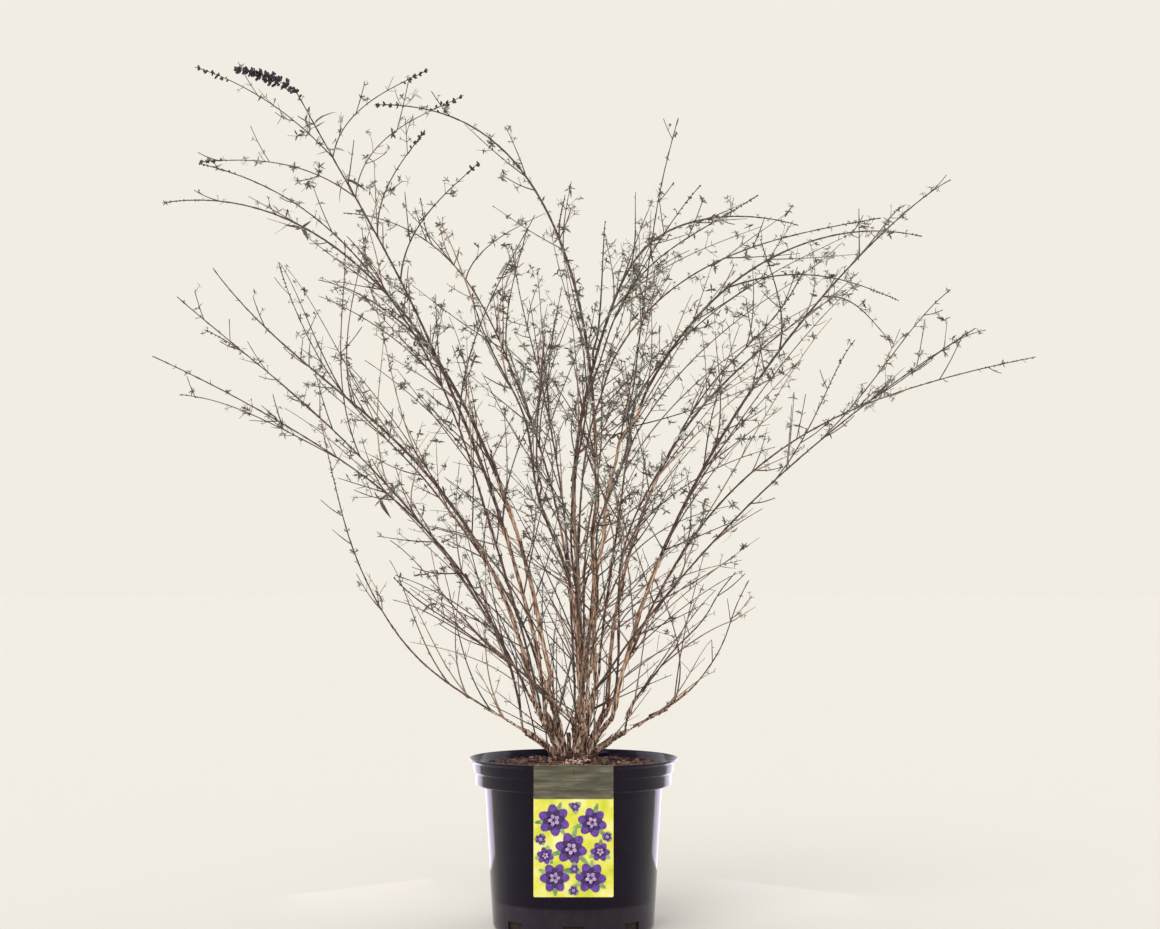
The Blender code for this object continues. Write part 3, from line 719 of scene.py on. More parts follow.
TWIG_LIFT = 0.35
TWIG_RADIUS = 1.2 * MM
TWIG_AT_FOOT = 1.2
TWIG_DWINDLE = 0.85
TWIG_VARIES = (0.6, 1.15)
FIRST_NODE = (0.4, 0.8)
NODE_VARIES = (0.8, 1.2)
NODE_TWIST = 0.2
RISING_GAIN = 0.35
BARE_ROOT = 3
BARE_TIP = 5
SHORTER = (1.0, 0.7, 0.45)
SHORTEST_TWIG = 24 * MM
SPACE_MARGIN = 5 * MM
CROWN_FOOT = GROUND + 40 * MM
CROWN_TOP = 1165 * MM
SEED = 1893
print("canes:", len(CANES), "side shoots:", len(SHOOTS))


# %% The rule that grows the skeleton
def polar(bearing, reach, height):
    """A point from its bearing, its reach from the middle and its height, given in millimetres."""
    angle = math.radians(bearing)
    return np.array([math.cos(angle) * reach, math.sin(angle) * reach, height]) * MM


def leaning(lean, bearing):
    """The unit vector that leans so far from upright towards a bearing."""
    tilt = math.radians(lean)
    return np.append(polar(bearing, math.sin(tilt), 0)[:2] / MM, math.cos(tilt))


def sampled(values, index):
    """Rows of a table read between its whole rows."""
    count = np.arange(len(values))
    return np.column_stack([np.interp(index, count, values[:, axis]) for axis in range(3)])


def bezier(p0, p1, p2, p3):
    """A cubic curve as points at even steps of its length."""
    t = np.linspace(0, 1, 200)[:, None]
    points = (1 - t) ** 3 * p0 + 3 * t * (1 - t) ** 2 * p1 + 3 * t * t * (1 - t) * p2 + t ** 3 * p3
    run = np.append(0, np.cumsum(np.linalg.norm(np.diff(points, axis=0), axis=1)))
    stations = np.linspace(0, run[-1], max(3, round(run[-1] / STEP) + 1))
    return sampled(points, np.interp(stations, run, np.arange(len(run))))


class Limb:
    """A path of points a step apart, with the radius at each of them."""

    def __init__(self, path, foot, tip, owner, stem=None, spike=0):
        self.path = path
        share = np.linspace(1, 0, len(path))
        self.radius = tip + (foot - tip) * share ** TAPER
        self.owner = owner
        self.stem = stem
        self.spike = spike * MM
        self.length = STEP * (len(path) - 1)

    def direction(self, i):
        low, high = max(i - 1, 0), min(i + 1, len(self.path) - 1)
        return unit(self.path[high] - self.path[low])


def main_stem(name):
    """A short stem from the stool's dome to its fork."""
    foot_bearing, foot_reach, fork_bearing, fork_reach, rise = MAIN_STEMS[name]
    foot = polar(foot_bearing, foot_reach, GROUND / MM + STEM_START)
    fork = polar(fork_bearing, fork_reach, GROUND / MM + rise)
    chord = fork - foot
    leaving = chord * (1, 1, ROOT_SWELL)
    path = bezier(foot, foot + chord / 3, fork - leaving / 3, fork)
    return Limb(path, STEM_RADIUS * MM, FORK_RADIUS * MM, 0, name)


def cane(number, row, stems):
    """One long cane from its fork, arching over to its tip, with a slight seeded sway."""
    stem, bearing, reach, height, foot_lean, tip_lean, foot_bow, tip_bow, spike = row
    foot, tip = stems[stem].path[-1], polar(bearing, reach, height)
    way = tip - foot
    towards = math.degrees(math.atan2(way[1], way[0]))
    chord = np.linalg.norm(way)
    path = bezier(foot, foot + leaning(foot_lean, towards) * chord * foot_bow / 100,
                  tip - leaning(tip_lean, towards) * chord * tip_bow / 100, tip)
    rng = random.Random(SEED + number)
    t = np.linspace(0, 1, len(path))
    across = leaning(90, towards + 90)
    sway = sum(np.sin(t * math.pi * waves) * rng.uniform(-SWAY, SWAY) for waves in (2, 3, 5))
    path = path + sway[:, None] * across
    growth = STOUT_THICKENING if number in STOUT_CANES else THICKENING
    foot_radius = THIN_CANE + STEP * len(path) * growth
    return Limb(path, foot_radius, TIP_RADIUS, number, stem, spike)


def side_shoot(row, canes):
    """A long shoot that leaves its cane part of the way up and bends towards its own tip."""
    number, share, bearing, reach, height, spike = row
    parent = canes[number - 1]
    i = round(share / 100 * (len(parent.path) - 1))
    root, tip = parent.path[i], polar(bearing, reach, height)
    chord = np.linalg.norm(tip - root)
    out = unit(parent.direction(i) + unit(tip - root))
    rise = np.array([0, 0, chord * SHOOT_ARCH])
    path = bezier(root, root + out * chord * 0.4, tip - (tip - root) * 0.3 + rise, tip)
    return Limb(path, parent.radius[i] * SHOOT_SHARE, TIP_RADIUS, number, spike=spike)


def room(first, i, second, j):
    """How far apart two points of two limbs have to lie."""
    along = min(i, j) * STEP
    need = first.radius[i] + second.radius[j] + CLEARANCE + along * OPENING
    same = first.owner == second.owner or (first.stem and first.stem == second.stem)
    return need * min(along / FORK_WEB, 1) if same else need


def ease_apart(moving, fixed):
    """Push the moving limbs sideways until none runs through another; their roots stay."""
    kernel = np.hanning(15)[1:-1]
    kernel /= kernel.sum()
    limbs = moving + fixed
    for _ in range(EASING_PASSES):
        places = [(limb, i) for limb in limbs for i in range(len(limb.path))]
        tree = kdtree.KDTree(len(places))
        for index, (limb, i) in enumerate(places):
            tree.insert(limb.path[i], index)
        tree.balance()
        pushes, worst = [], 0
        for limb in moving:
            push = np.zeros_like(limb.path)
            for i, point in enumerate(limb.path):
                for _, index, distance in tree.find_range(point, LOOK_ROUND):
                    other, j = places[index]
                    short = 0 if other is limb else room(limb, i, other, j) - distance
                    if short > 0:
                        push[i] += unit(point - other.path[j]) * short / 2
                        worst = max(worst, short)
            for axis in range(3):
                push[:, axis] = np.convolve(push[:, axis], kernel, "same")
            ease = np.minimum(np.arange(len(push)) * STEP / HELD_ROOT, 1)
            pushes.append(push * ease[:, None])
        for limb, push in zip(moving, pushes):
            limb.path = limb.path + push
        if worst < EASED:
            break


class Space:
    """Tells whether a point lies in a cane's own space: nearer to it than to any other."""

    def __init__(self, limbs):
        self.points = np.vstack([limb.path for limb in limbs])
        self.owner = np.concatenate([np.full(len(limb.path), limb.owner) for limb in limbs])

    def holds(self, path, number):
        for point in path:
            far = np.linalg.norm(self.points - point, axis=1)
            own = far[self.owner == number].min()
            if own + 2 * SPACE_MARGIN > far[self.owner != number].min():
                return False
        return CROWN_FOOT < path[:, 2].min() and path[:, 2].max() < CROWN_TOP


def twig_path(root, along, side, length):
    """A twig that leaves at an angle and turns up a little towards the light."""
    spread = math.radians(TWIG_SPREAD)
    start = along * math.cos(spread) + side * math.sin(spread)
    end = unit(start + np.array([0, 0, TWIG_LIFT]))
    half = root + start * length * 0.5
    return bezier(root, root + start * length * 0.25, half, half + end * length * 0.5)


def grow_twigs(limb, first, longest, space, rng):
    """Side twigs from nodes along a limb, each pair of nodes a quarter turn on."""
    twigs = []
    along = limb.direction(first)
    across = unit(np.cross(along, SLANT))
    turn = rng.uniform(0, math.pi)
    i = first + round(rng.uniform(*FIRST_NODE) * TWIG_SPACING / STEP)
    sign = 1
    while i < len(limb.path) - BARE_TIP:
        along = limb.direction(i)
        across = unit(across - along * across.dot(along))
        side = math.cos(turn) * across + math.sin(turn) * np.cross(along, across)
        share = i / len(limb.path)
        rising = 1 + RISING_GAIN * sign * side[2]
        full = longest * (TWIG_AT_FOOT - TWIG_DWINDLE * share) * rising * rng.uniform(*TWIG_VARIES)
        for shorter in SHORTER:
            length = full * shorter
            path = twig_path(limb.path[i], along, side * sign, length)
            if length > SHORTEST_TWIG and space.holds(path[BARE_ROOT:], limb.owner):
                foot = min(TWIG_RADIUS, limb.radius[i] * TAPER)
                twigs.append(Limb(path, foot, TIP_RADIUS, limb.owner))
                break
        sign = -sign
        turn += math.pi / 2 if sign > 0 else NODE_TWIST
        i += round(rng.uniform(*NODE_VARIES) * TWIG_SPACING / STEP)
    return twigs


def plan_bush():
    """The whole skeleton: main stems, canes, side shoots and twigs."""
    stems = {name: main_stem(name) for name in MAIN_STEMS}
    canes = [cane(number, row, stems) for number, row in enumerate(CANES, 1)]
    ease_apart(canes, list(stems.values()))
    shoots = [side_shoot(row, canes) for row in SHOOTS]
    ease_apart(shoots, canes)
    space = Space(canes + shoots)
    twigs = []
    for limb in canes:
        rng = random.Random(SEED + limb.owner * 17)
        twigs += grow_twigs(limb, round(CANE_SHARE * len(limb.path)), TWIG_LENGTH, space, rng)
    for number, limb in enumerate(shoots):
        rng = random.Random(SEED + number * 23)
        twigs += grow_twigs(limb, BARE_ROOT, SHOOT_TWIG_LENGTH, space, rng)
    return stems, canes, shoots, twigs


stems, canes, shoots, twigs = plan_bush()
print("main stems:", len(stems), "canes:", len(canes), "shoots:", len(shoots), "twigs:", len(twigs))

# %% [markdown]
# ## Finer growth
# The solids stop at the twigs that make the outline. The real bush carries on: thin whippy
# shoots rise between the canes from the forks upwards, and every one has still finer twigs. The
# long whips that the picture shows plainly are placed by the pixels of their two ends, read off
# it. The rest follow the same habit as the twigs, leave at a narrow angle and turn up to the
# light, the low ones most of all. One is kept only where all of it lies close to the skeleton,
# so the crown keeps its outline and its gaps of sky.

# %% Finer growth
INNER_REACH = 80 * MM
OUTER_REACH = 24 * MM
CANE_WHIPS = {"spacing": 150, "lengths": (90, 300), "spread": 30, "lift": 0.06, "foot": 1.05,
              "tip": 0.45, "until": 0.82}
STEM_WHIPS = {"spacing": 28, "lengths": (110, 330), "spread": 58, "lift": 0.4, "foot": 1.2,
              "tip": 0.5, "until": 1.0}
LOW_WHIPS = {"spacing": 120, "lengths": (100, 280), "spread": 46, "lift": 0.15, "foot": 1.2,
             "tip": 0.45, "until": 0.42}
FINE_TWIGS = {"spacing": 80, "lengths": (14, 50), "spread": 48, "lift": 0.25, "foot": 0.6,
              "tip": 0.36, "until": 0.85}
WHIP_BEND = 0.26
WHIP_SHORTER = (1.0, 0.65, 0.4)
TURNING_UP = GROUND + 160 * MM
LEAST_RISE = 0.36
LEAST_OVER_GROUND = 10 * MM
INSIDE_THE_BOX = 12 * MM
CONE_FOOT = 0.12
CONE_OPENS = 0.42
CONE_MARGIN = 1.15
LONG_WHIPS = [
    # read off the picture, in its pixels: where the whip leaves its cane, then its tip;
    # the cane's number, 0 for the nearest; how far back the tip lies, a guess in millimetres
    (393, 500, 383, 325, 2, 20), (428, 500, 453, 408, 4, -20), (505, 512, 365, 360, 0, -40),
    (470, 530, 335, 352, 0, 30), (440, 372, 322, 278, 0, 20), (447, 555, 285, 408, 4, -30),
    (838, 305, 894, 345, 21, -20), (470, 278, 543, 214, 11, 20), (630, 265, 636, 192, 12, 10),
    (640, 700, 714, 672, 24, -20), (640, 560, 735, 505, 0, 20), (620, 620, 742, 560, 0, -20),
    (500, 640, 395, 575, 0, 0), (480, 660, 392, 600, 0, -20), (620, 560, 700, 440, 0, 30),
    (530, 620, 455, 520, 0, -40), (582, 352, 762, 226, 0, 20), (628, 410, 842, 238, 0, -40),
    (640, 445, 806, 274, 0, 40), (640, 470, 842, 290, 0, -60), (640, 482, 800, 354, 0, 60),
    (672, 500, 856, 284, 0, -30), (640, 530, 775, 447, 0, 60), (690, 540, 832, 318, 0, -40),
    (655, 535, 746, 436, 0, -30), (714, 452, 716, 332, 0, -20), (640, 470, 660, 262, 0, 40),
    (645, 420, 736, 270, 0, -50), (612, 545, 514, 332, 0, -40), (596, 470, 522, 345, 0, 50),
    (575, 440, 563, 250, 0, -60), (560, 500, 520, 396, 0, 30), (535, 490, 586, 330, 0, -40),
    (505, 525, 557, 370, 0, 40), (600, 640, 700, 530, 0, 40), (585, 600, 512, 470, 0, 30),
    (560, 640, 610, 520, 0, -60), (580, 660, 668, 590, 0, -60), (545, 690, 446, 615, 0, 30),
    (560, 700, 478, 600, 0, -50), (556, 700, 400, 580, 0, -30), (538, 712, 410, 642, 0, 30),
    (522, 690, 446, 560, 0, -20), (464, 698, 463, 552, 0, 20), (515, 655, 463, 545, 0, 30),
    (500, 655, 430, 585, 0, -30), (420, 425, 284, 266, 0, 30), (405, 395, 318, 296, 0, -30),
    (392, 330, 346, 236, 0, 30), (500, 520, 452, 345, 0, -30), (565, 430, 536, 272, 0, 40),
    (590, 410, 560, 238, 0, -30), (545, 440, 578, 296, 0, 30), (520, 560, 470, 400, 0, 40),
    (440, 460, 372, 300, 0, -30), (650, 660, 735, 620, 0, 30), (640, 700, 716, 590, 0, -20),
    (610, 700, 690, 640, 0, 40), (600, 560, 650, 440, 0, -30), (505, 718, 484, 562, 0, 0),
    (490, 712, 440, 562, 0, 20), (470, 702, 404, 592, 0, -20), (520, 724, 514, 634, 0, -20),
    (448, 684, 389, 560, 0, 10), (668, 694, 642, 548, 0, 10), (600, 695, 738, 573, 0, 20),
    (352, 405, 378, 198, 0, 10), (345, 390, 279, 263, 0, -20), (655, 700, 712, 640, 0, -20),
    (590, 680, 650, 580, 0, 50), (530, 660, 463, 560, 0, 20), (625, 650, 700, 575, 0, -30),
    (500, 380, 497, 288, 0, 20), (508, 330, 529, 234, 0, -20), (462, 312, 438, 216, 0, 20),
    (618, 300, 604, 232, 0, 30), (612, 292, 652, 202, 0, -20), (645, 305, 628, 252, 0, 20),
    (540, 365, 549, 304, 0, 20), (628, 405, 600, 328, 0, 30), (545, 400, 528, 300, 0, -40),
    (645, 392, 652, 300, 0, 20), (655, 360, 692, 294, 0, -20), (600, 308, 690, 250, 0, 30),
    (520, 360, 476, 328, 0, 20), (535, 420, 504, 340, 0, 40),
]
LONG_WHIP_FOOT = 1.2 * MM
LONG_WHIP_TIP = 0.5 * MM
SEEN_FOCAL = FOCAL / SENSOR * PIXELS_ACROSS
SEEN_CENTRE = ((0.5 - SHIFT) * PIXELS_ACROSS, PIXELS_DOWN / 2)


def seen_at(points):
    """Where the camera sees points, in pixels of the picture."""
    x, y, z = (np.asarray(points) - CAMERA_AT).T
    tilt = math.radians(CAMERA_UP)
    depth = y * math.cos(tilt) + z * math.sin(tilt)
    up = z * math.cos(tilt) - y * math.sin(tilt)
    return np.column_stack([SEEN_CENTRE[0] + SEEN_FOCAL * x / depth,
                            SEEN_CENTRE[1] - SEEN_FOCAL * up / depth])


def point_behind(across, down, y):
    """The point at depth y that the camera sees at a pixel."""
    tilt = math.radians(CAMERA_UP)
    side = (across - SEEN_CENTRE[0]) / SEEN_FOCAL
    over = (SEEN_CENTRE[1] - down) / SEEN_FOCAL
    far = (y - CAMERA_AT[1]) / (math.cos(tilt) - over * math.sin(tilt))
    return side * far, y, CAMERA_AT[2] + far * (math.sin(tilt) + over * math.cos(tilt))


def placed(seen, canes):
    """A long whip's row for side_shoot, worked out from its two places in the picture."""
    foot, tip, number, back = seen[:2], seen[2:4], seen[4], seen[5]
    found = []
    for limb in canes:
        if number in (0, limb.owner):
            away = np.linalg.norm(seen_at(limb.path) - foot, axis=1)
            found.append((away.min(), limb.owner, int(away.argmin())))
    _, owner, i = min(found)
    host = canes[owner - 1].path
    x, y, z = point_behind(*tip, host[i][1] + back * MM)
    return (owner, round(100 * i / (len(host) - 1)), round(math.degrees(math.atan2(y, x))),
            round(math.hypot(x, y) / MM), round(z / MM))


class Crown:
    """Tells how far a point lies from the skeleton of the solids."""

    def __init__(self, limbs):
        points = np.vstack([limb.path for limb in limbs])
        self.tree = kdtree.KDTree(len(points))
        for index, point in enumerate(points):
            self.tree.insert(point, index)
        self.tree.balance()
        low, high = cad_box
        self.low = np.array(low) + INSIDE_THE_BOX
        self.high = np.array(high) - INSIDE_THE_BOX

    def holds(self, path):
        """True where every point is near the skeleton, over the pot's rim and inside the box.

        Deep in the crown a point may lie further from the skeleton than it may near its edge.
        """
        if path[:, 2].min() < GROUND + LEAST_OVER_GROUND or (path < self.low).any():
            return False
        if (path > self.high).any():
            return False
        for x, y, z in path[::4]:
            cone = CONE_FOOT + CONE_OPENS * (z - GROUND)
            edge = math.hypot(x, y) / cone / CONE_MARGIN
            outer = min(max(edge, z / CROWN_TOP) ** 4, 1)
            reach = INNER_REACH + (OUTER_REACH - INNER_REACH) * outer
            if self.tree.find((x, y, z))[2] > reach:
                return False
        return True


def rises(path):
    """False for a low shoot that doesn't turn up to the light by a third of its reach."""
    rise = path[-1] - path[0]
    return path[0][2] > TURNING_UP or rise[2] > LEAST_RISE * np.linalg.norm(rise)


def finer(limb, first, habit, crown, rng):
    """Thin growth along a limb in opposite pairs, longer near its foot."""
    made = []
    turn = rng.uniform(0, math.pi)
    spacing = habit["spacing"] * MM
    shortest, longest = habit["lengths"]
    place = first + rng.uniform(0.1, 0.9) * spacing
    while place < limb.length * habit["until"] - 2 * STEP:
        i = round(place / STEP)
        along = limb.direction(i)
        across = unit(np.cross(along, SLANT))
        for sign in (1, -1):
            angle = turn + rng.gauss(0, 0.35)
            side = sign * (math.cos(angle) * across + math.sin(angle) * np.cross(along, across))
            share = place / limb.length
            length = (shortest + (longest - shortest) * (1 - share) * rng.random()) * MM
            opened = math.radians(habit["spread"] * rng.uniform(0.6, 1.4))
            start = along * math.cos(opened) + side * math.sin(opened)
            end = unit(start + np.array([rng.gauss(0, WHIP_BEND), rng.gauss(0, WHIP_BEND),
                                         habit["lift"] * rng.uniform(-0.1, 1.5)]))
            root = limb.path[i]
            for shorter in WHIP_SHORTER:
                reached = length * shorter
                tip = root + (start * 0.4 + end * 0.6) * reached
                path = bezier(root, root + start * reached * 0.35, tip - end * reached * 0.35, tip)
                if crown.holds(path) and rises(path):
                    foot = min(habit["foot"] * MM, limb.radius[min(i, len(limb.path) - 1)] * 0.8)
                    made.append(Limb(path, foot, habit["tip"] * MM, limb.owner))
                    break
        turn += math.pi / 2
        place += rng.uniform(0.7, 1.3) * spacing
    return made


def grow_finer(stems, canes, shoots, twigs):
    """Placed whips, whips from the main stems and canes, and fine twigs from whips and twigs."""
    crown = Crown(canes + shoots + twigs)
    rng = random.Random(77)
    whips, fine = [], []
    for row in sorted(placed(seen, canes) for seen in LONG_WHIPS):
        path = side_shoot((*row, 0), canes).path
        whips.append(Limb(path, LONG_WHIP_FOOT, LONG_WHIP_TIP, row[0]))
    for stem in stems.values():
        whips += finer(stem, 14 * MM, STEM_WHIPS, crown, rng)
    for limb in canes:
        whips += finer(limb, 25 * MM, LOW_WHIPS, crown, rng)
        whips += finer(limb, 0.34 * limb.length, CANE_WHIPS, crown, rng)
    for limb in shoots + twigs + whips:
        fine += finer(limb, 15 * MM, FINE_TWIGS, crown, rng)
    return whips, fine


whips, fine = grow_finer(stems, canes, shoots, twigs)
print("whips:", len(whips), "fine twigs:", len(fine))

# %% [markdown]
# ## Bark
# Old wood of a butterfly bush has thin pale orange-tan bark that shreds in long upright strips
# and shows a darker brown where it has gone. Higher up the wood is younger: first red-brown, then
# a smooth grey-brown. Up to three substances follow each other along a cane, and their grain is
# drawn out along the limb by a map that counts lengths round it and along it.

# %% Bark finishes
# Bark is dead cork and fibre: no shine to speak of, roughness near 0.9. Its grains are one to
# two millimetres wide and 6 to 17 mm long.
SHREDDING_BARK = grained("shredding_tan_bark",
                         [(0.37, "261610"), (0.46, "70503F"), (0.55, "B9967F"), (0.65, "E6D2BE")],
                         2.0, 1.0, (1, 0.12, 1), True, Roughness=0.92)
STOOL_BARK = grained("stool_bark",
                     [(0.38, "1E130F"), (0.46, "644738"), (0.54, "B9967D"), (0.63, "EBD6C2")],
                     2.2, 1.0, (1, 1, 0.16), False, Roughness=0.92)
RED_BROWN_BARK = grained("red_brown_bark",
                         [(0.37, "1F1412"), (0.5, "4C372F"), (0.64, "8E7263")],
                         1.3, 0.5, (1, 0.14, 1), True, Roughness=0.88)
PALE_TAN_BARK = grained("pale_tan_bark",
                        [(0.36, "553626"), (0.48, "A67E62"), (0.62, "E8CDB4")],
                        1.6, 0.8, (1, 0.12, 1), True, Roughness=0.92)
GREY_BROWN_BARK = grained("grey_brown_bark",
                          [(0.37, "241B1A"), (0.5, "4A3F3A"), (0.66, "7E7067")],
                          1.2, 0.35, (1, 0.2, 1), True, Roughness=0.85)
print("bark finishes:", [finish.name for finish in (
    SHREDDING_BARK, STOOL_BARK, RED_BROWN_BARK, PALE_TAN_BARK, GREY_BROWN_BARK)])

# %% Tubes along limbs
NODE_SPACING = 44
NODE_SWELL = 0.30
NODE_WIDTH = 3.0


def frames(path):
    """The way along a path and two ways across it, carried on without a twist."""
    along = np.gradient(path, axis=0)
    along /= np.maximum(np.linalg.norm(along, axis=1), 1e-9)[:, None]
    across = np.empty_like(along)
    side = np.cross(along[0], SLANT)
    for k, way in enumerate(along):
        side = unit(side - way * side.dot(way))
        across[k] = side
    return along, across, np.cross(along, across)


def tube(pile, limb, sides, step, low=0, finish=0, relief=0, swell=0, slim=(1, 1)):
    """A limb as rings a step apart; relief in millimetres roughens it, swell thickens its nodes.

    Slim gives the shares of its radius at its foot and at its tip.
    """
    count = max(2, round((limb.length - low) / step))
    index = np.linspace(low, limb.length, count + 1) / STEP
    centre = sampled(limb.path, index)
    size = np.interp(index, np.arange(len(limb.path)), limb.radius) * np.interp(
        index, (0, len(limb.path) - 1), slim)
    run = index * STEP / MM
    if swell:
        near = np.abs((run + limb.owner * 7) % NODE_SPACING - NODE_SPACING / 2)
        size = size + swell * MM * np.exp(-(near / NODE_WIDTH) ** 2)
    _, across, up = frames(centre)
    angle = 2 * math.pi * np.arange(sides) / sides
    wide = np.repeat(size[:, None], sides, axis=1)
    if relief:
        offset = 10.0 * limb.owner
        rough = [[noise.noise((math.cos(a) * 2.2, math.sin(a) * 2.2 + offset, r / 9))
                  for a in angle] for r in run]
        wide = wide + np.array(rough) * relief * MM
    ring = (np.cos(angle)[None, :, None] * across[:, None] + np.sin(angle)[None, :, None]
            * up[:, None])
    points = centre[:, None] + ring * wide[:, :, None]
    faces = grid_faces(count + 1, sides)
    s = np.tile(np.arange(sides), count)
    k = np.repeat(np.arange(count), sides)
    round_way = 2 * math.pi * size.mean() / sides
    places = np.stack([np.stack([s * round_way, run[k] * MM], -1),
                       np.stack([(s + 1) * round_way, run[k] * MM], -1),
                       np.stack([(s + 1) * round_way, run[k + 1] * MM], -1),
                       np.stack([s * round_way, run[k + 1] * MM], -1)], axis=1)
    pile.add(points.reshape(-1, 3), faces, finish if np.isscalar(finish) else finish(k / count),
             places)
    ends = [list(range(sides))[::-1], list(range(count * sides, (count + 1) * sides))]
    base = pile.count - len(points) * sides
    pile.faces += [[base + n for n in end] for end in ends]
    last = pile.finish[-1]
    pile.finish.append(np.array([last[0], last[-1]]))
    pile.places.append(np.zeros((2 * sides, 2)))


print("nodes every", NODE_SPACING, "mm")

# %% [markdown]
# ## The stool and its stems
# The stool is a lumpy crown of old wood with a flat cut foot on the compost. Its stems grow into
# each other where they meet. Tubes pushed through each other would show hard creases, so tubes
# and foot are fused by a voxel remesh of little over a millimetre, smoothed, and then roughened
# by noise that is drawn out upwards, which gives the ridges of shredding bark.

# %% Stool
VOXEL = 1.3 * MM
STOOL_OUTLINE = [(36, 0), (35.5, 3), (33, 7), (28, 10), (20, 12.5), (11, 13.8), (3, 14)]
STOOL_SIDES = 48
STOOL_RIDGE = 1.1 * MM
RIDGE_WIDTH = 3.5 * MM
RIDGE_LENGTH = 20 * MM
STEM_SHARES = (0.98, 0.88)
START_SHARES = (0.94, 0.92)
START_STEPS = 6
CUT_STUBS = [
    # bearing, foot reach, top reach, height over the ground, radius in millimetres
    (-60, 14, 22, 44, 3.4), (160, 18, 30, 36, 3.4), (60, 20, 32, 34, 3.6), (-120, 22, 31, 26, 3.0),
    (20, 24, 30, 24, 3.0), (110, 14, 20, 40, 3.2),
]


def build_stool():
    """Foot, main stems, the starts of the canes and old pruned stubs, fused into one form."""
    pile = Pile()
    foot = [(r, h + GROUND / MM) for r, h in STOOL_OUTLINE]
    points = turned(foot, STOOL_SIDES)
    bearing = np.arctan2(points[:, 1], points[:, 0])
    lumps = np.array([noise.noise((math.cos(a) * 1.7, math.sin(a) * 1.7, 3)) for a in bearing])
    points[:, :2] *= (1 + 0.12 * lumps)[:, None]
    pile.add(points, grid_faces(len(foot), STOOL_SIDES))
    last = (len(foot) - 1) * STOOL_SIDES
    pile.faces += [list(range(STOOL_SIDES))[::-1], list(range(last, last + STOOL_SIDES))]
    pile.finish.append(np.zeros(2, int))
    pile.places.append(np.zeros((2 * STOOL_SIDES, 2)))
    for stem in stems.values():
        slimmed = Limb(stem.path, STEM_RADIUS * MM * STEM_SHARES[0],
                       FORK_RADIUS * MM * STEM_SHARES[1], 0)
        tube(pile, slimmed, 12, 4 * MM)
    for limb in canes:
        start = Limb(limb.path[:START_STEPS + 1], limb.radius[0] * START_SHARES[0],
                     limb.radius[START_STEPS] * START_SHARES[1], limb.owner)
        tube(pile, start, 12, 4 * MM)
    for angle, low, high, height, radius in CUT_STUBS:
        path = bezier(polar(angle, low, 220), polar(angle, low + 2, 222 + height * 0.3),
                      polar(angle, high - 2, GROUND / MM + height * 0.7),
                      polar(angle, high, GROUND / MM + height))
        tube(pile, Limb(path, radius * MM * 1.1, radius * MM, 0), 12, 4 * MM)
    stool = pile.build("stool_and_stems", [STOOL_BARK])
    remesh = stool.modifiers.new("Fuse", "REMESH")
    remesh.mode = "VOXEL"
    remesh.voxel_size = VOXEL
    soften = stool.modifiers.new("Soften", "SMOOTH")
    soften.iterations = 3
    soften.factor = 0.5
    depsgraph = bpy.context.evaluated_depsgraph_get()
    fused = bpy.data.meshes.new_from_object(stool.evaluated_get(depsgraph))
    stool.modifiers.clear()
    stool.data = fused
    spots = np.empty(len(fused.vertices) * 3)
    normals = np.empty(len(fused.vertices) * 3)
    fused.vertices.foreach_get("co", spots)
    fused.vertices.foreach_get("normal", normals)
    spots, normals = spots.reshape(-1, 3), normals.reshape(-1, 3)
    ridge = np.array([
        noise.fractal((x / RIDGE_WIDTH, y / RIDGE_WIDTH, z / RIDGE_LENGTH), 0.8, 2.1, 3)
        for x, y, z in spots])
    over = np.clip((spots[:, 2] - GROUND) / (4 * MM), 0, 1)
    spots = spots + normals * (ridge * STOOL_RIDGE * over)[:, None]
    spots[:, 2] = np.maximum(spots[:, 2], GROUND - 0.2 * MM)
    fused.vertices.foreach_set("co", spots.ravel())
    fused.update()
    fused.shade_smooth()
    print("stool faces:", len(fused.polygons))
    return stool


stool = build_stool()
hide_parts("stool")

# %% [markdown]
# ## The canes
# Every cane is one tapering tube of ten sides with a thicker ring at each node and a real
# relief of bark. The tubes start inside the stool's own short lengths of cane, so that no end
# shows. The old bark of one cane is tan, of the next pale or dark, and the change to
# red-brown and then grey-brown falls at a different height on each, which keeps them apart.

# %% Canes
BARK_FINISHES = [SHREDDING_BARK, RED_BROWN_BARK, GREY_BROWN_BARK, PALE_TAN_BARK]
CANE_START = 18 * MM
LOW_BARK = {True: (0, 3), False: (0, 1, 1, 2)}
LOW_UNTIL = {True: (0.22, 0.42), False: (0.1, 0.25)}
RED_UNTIL = (0.4, 0.62)
SLIM_CANE = {True: (0.88, 0.78), False: (0.78, 0.72)}


def build_canes():
    """Lower and upper canes as one piece."""
    rng = random.Random(31)
    pile = Pile()
    for limb in canes:
        stout = limb.owner in STOUT_CANES
        low = rng.choice(LOW_BARK[stout])
        change = rng.uniform(*LOW_UNTIL[stout])
        red = rng.uniform(*RED_UNTIL)

        def dealt(share, low=low, change=change, red=red):
            return np.where(share < change, low, np.where(share < red, 1, 2))

        tube(pile, limb, 10, 2.6 * MM, CANE_START, dealt, 0.38, NODE_SWELL, SLIM_CANE[stout])
    return pile.build("canes", BARK_FINISHES)


cane_piece = build_canes()
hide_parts(*[f"cane_{number:02d}" for number in range(1, len(CANES) + 1)])

# %% [markdown]
# ## Loose strips of bark
# On the main stems and the lowest third of the canes the bark hangs in thin curling strips. Each
# strip is a narrow bent sheet that starts on the limb and lifts off at its free end.

# %% Bark strips
STRIPS_PER_LIMB = (5, 11)
STRIP_LENGTH = (12, 42)
STRIP_WIDTH = (1.2, 3.2)


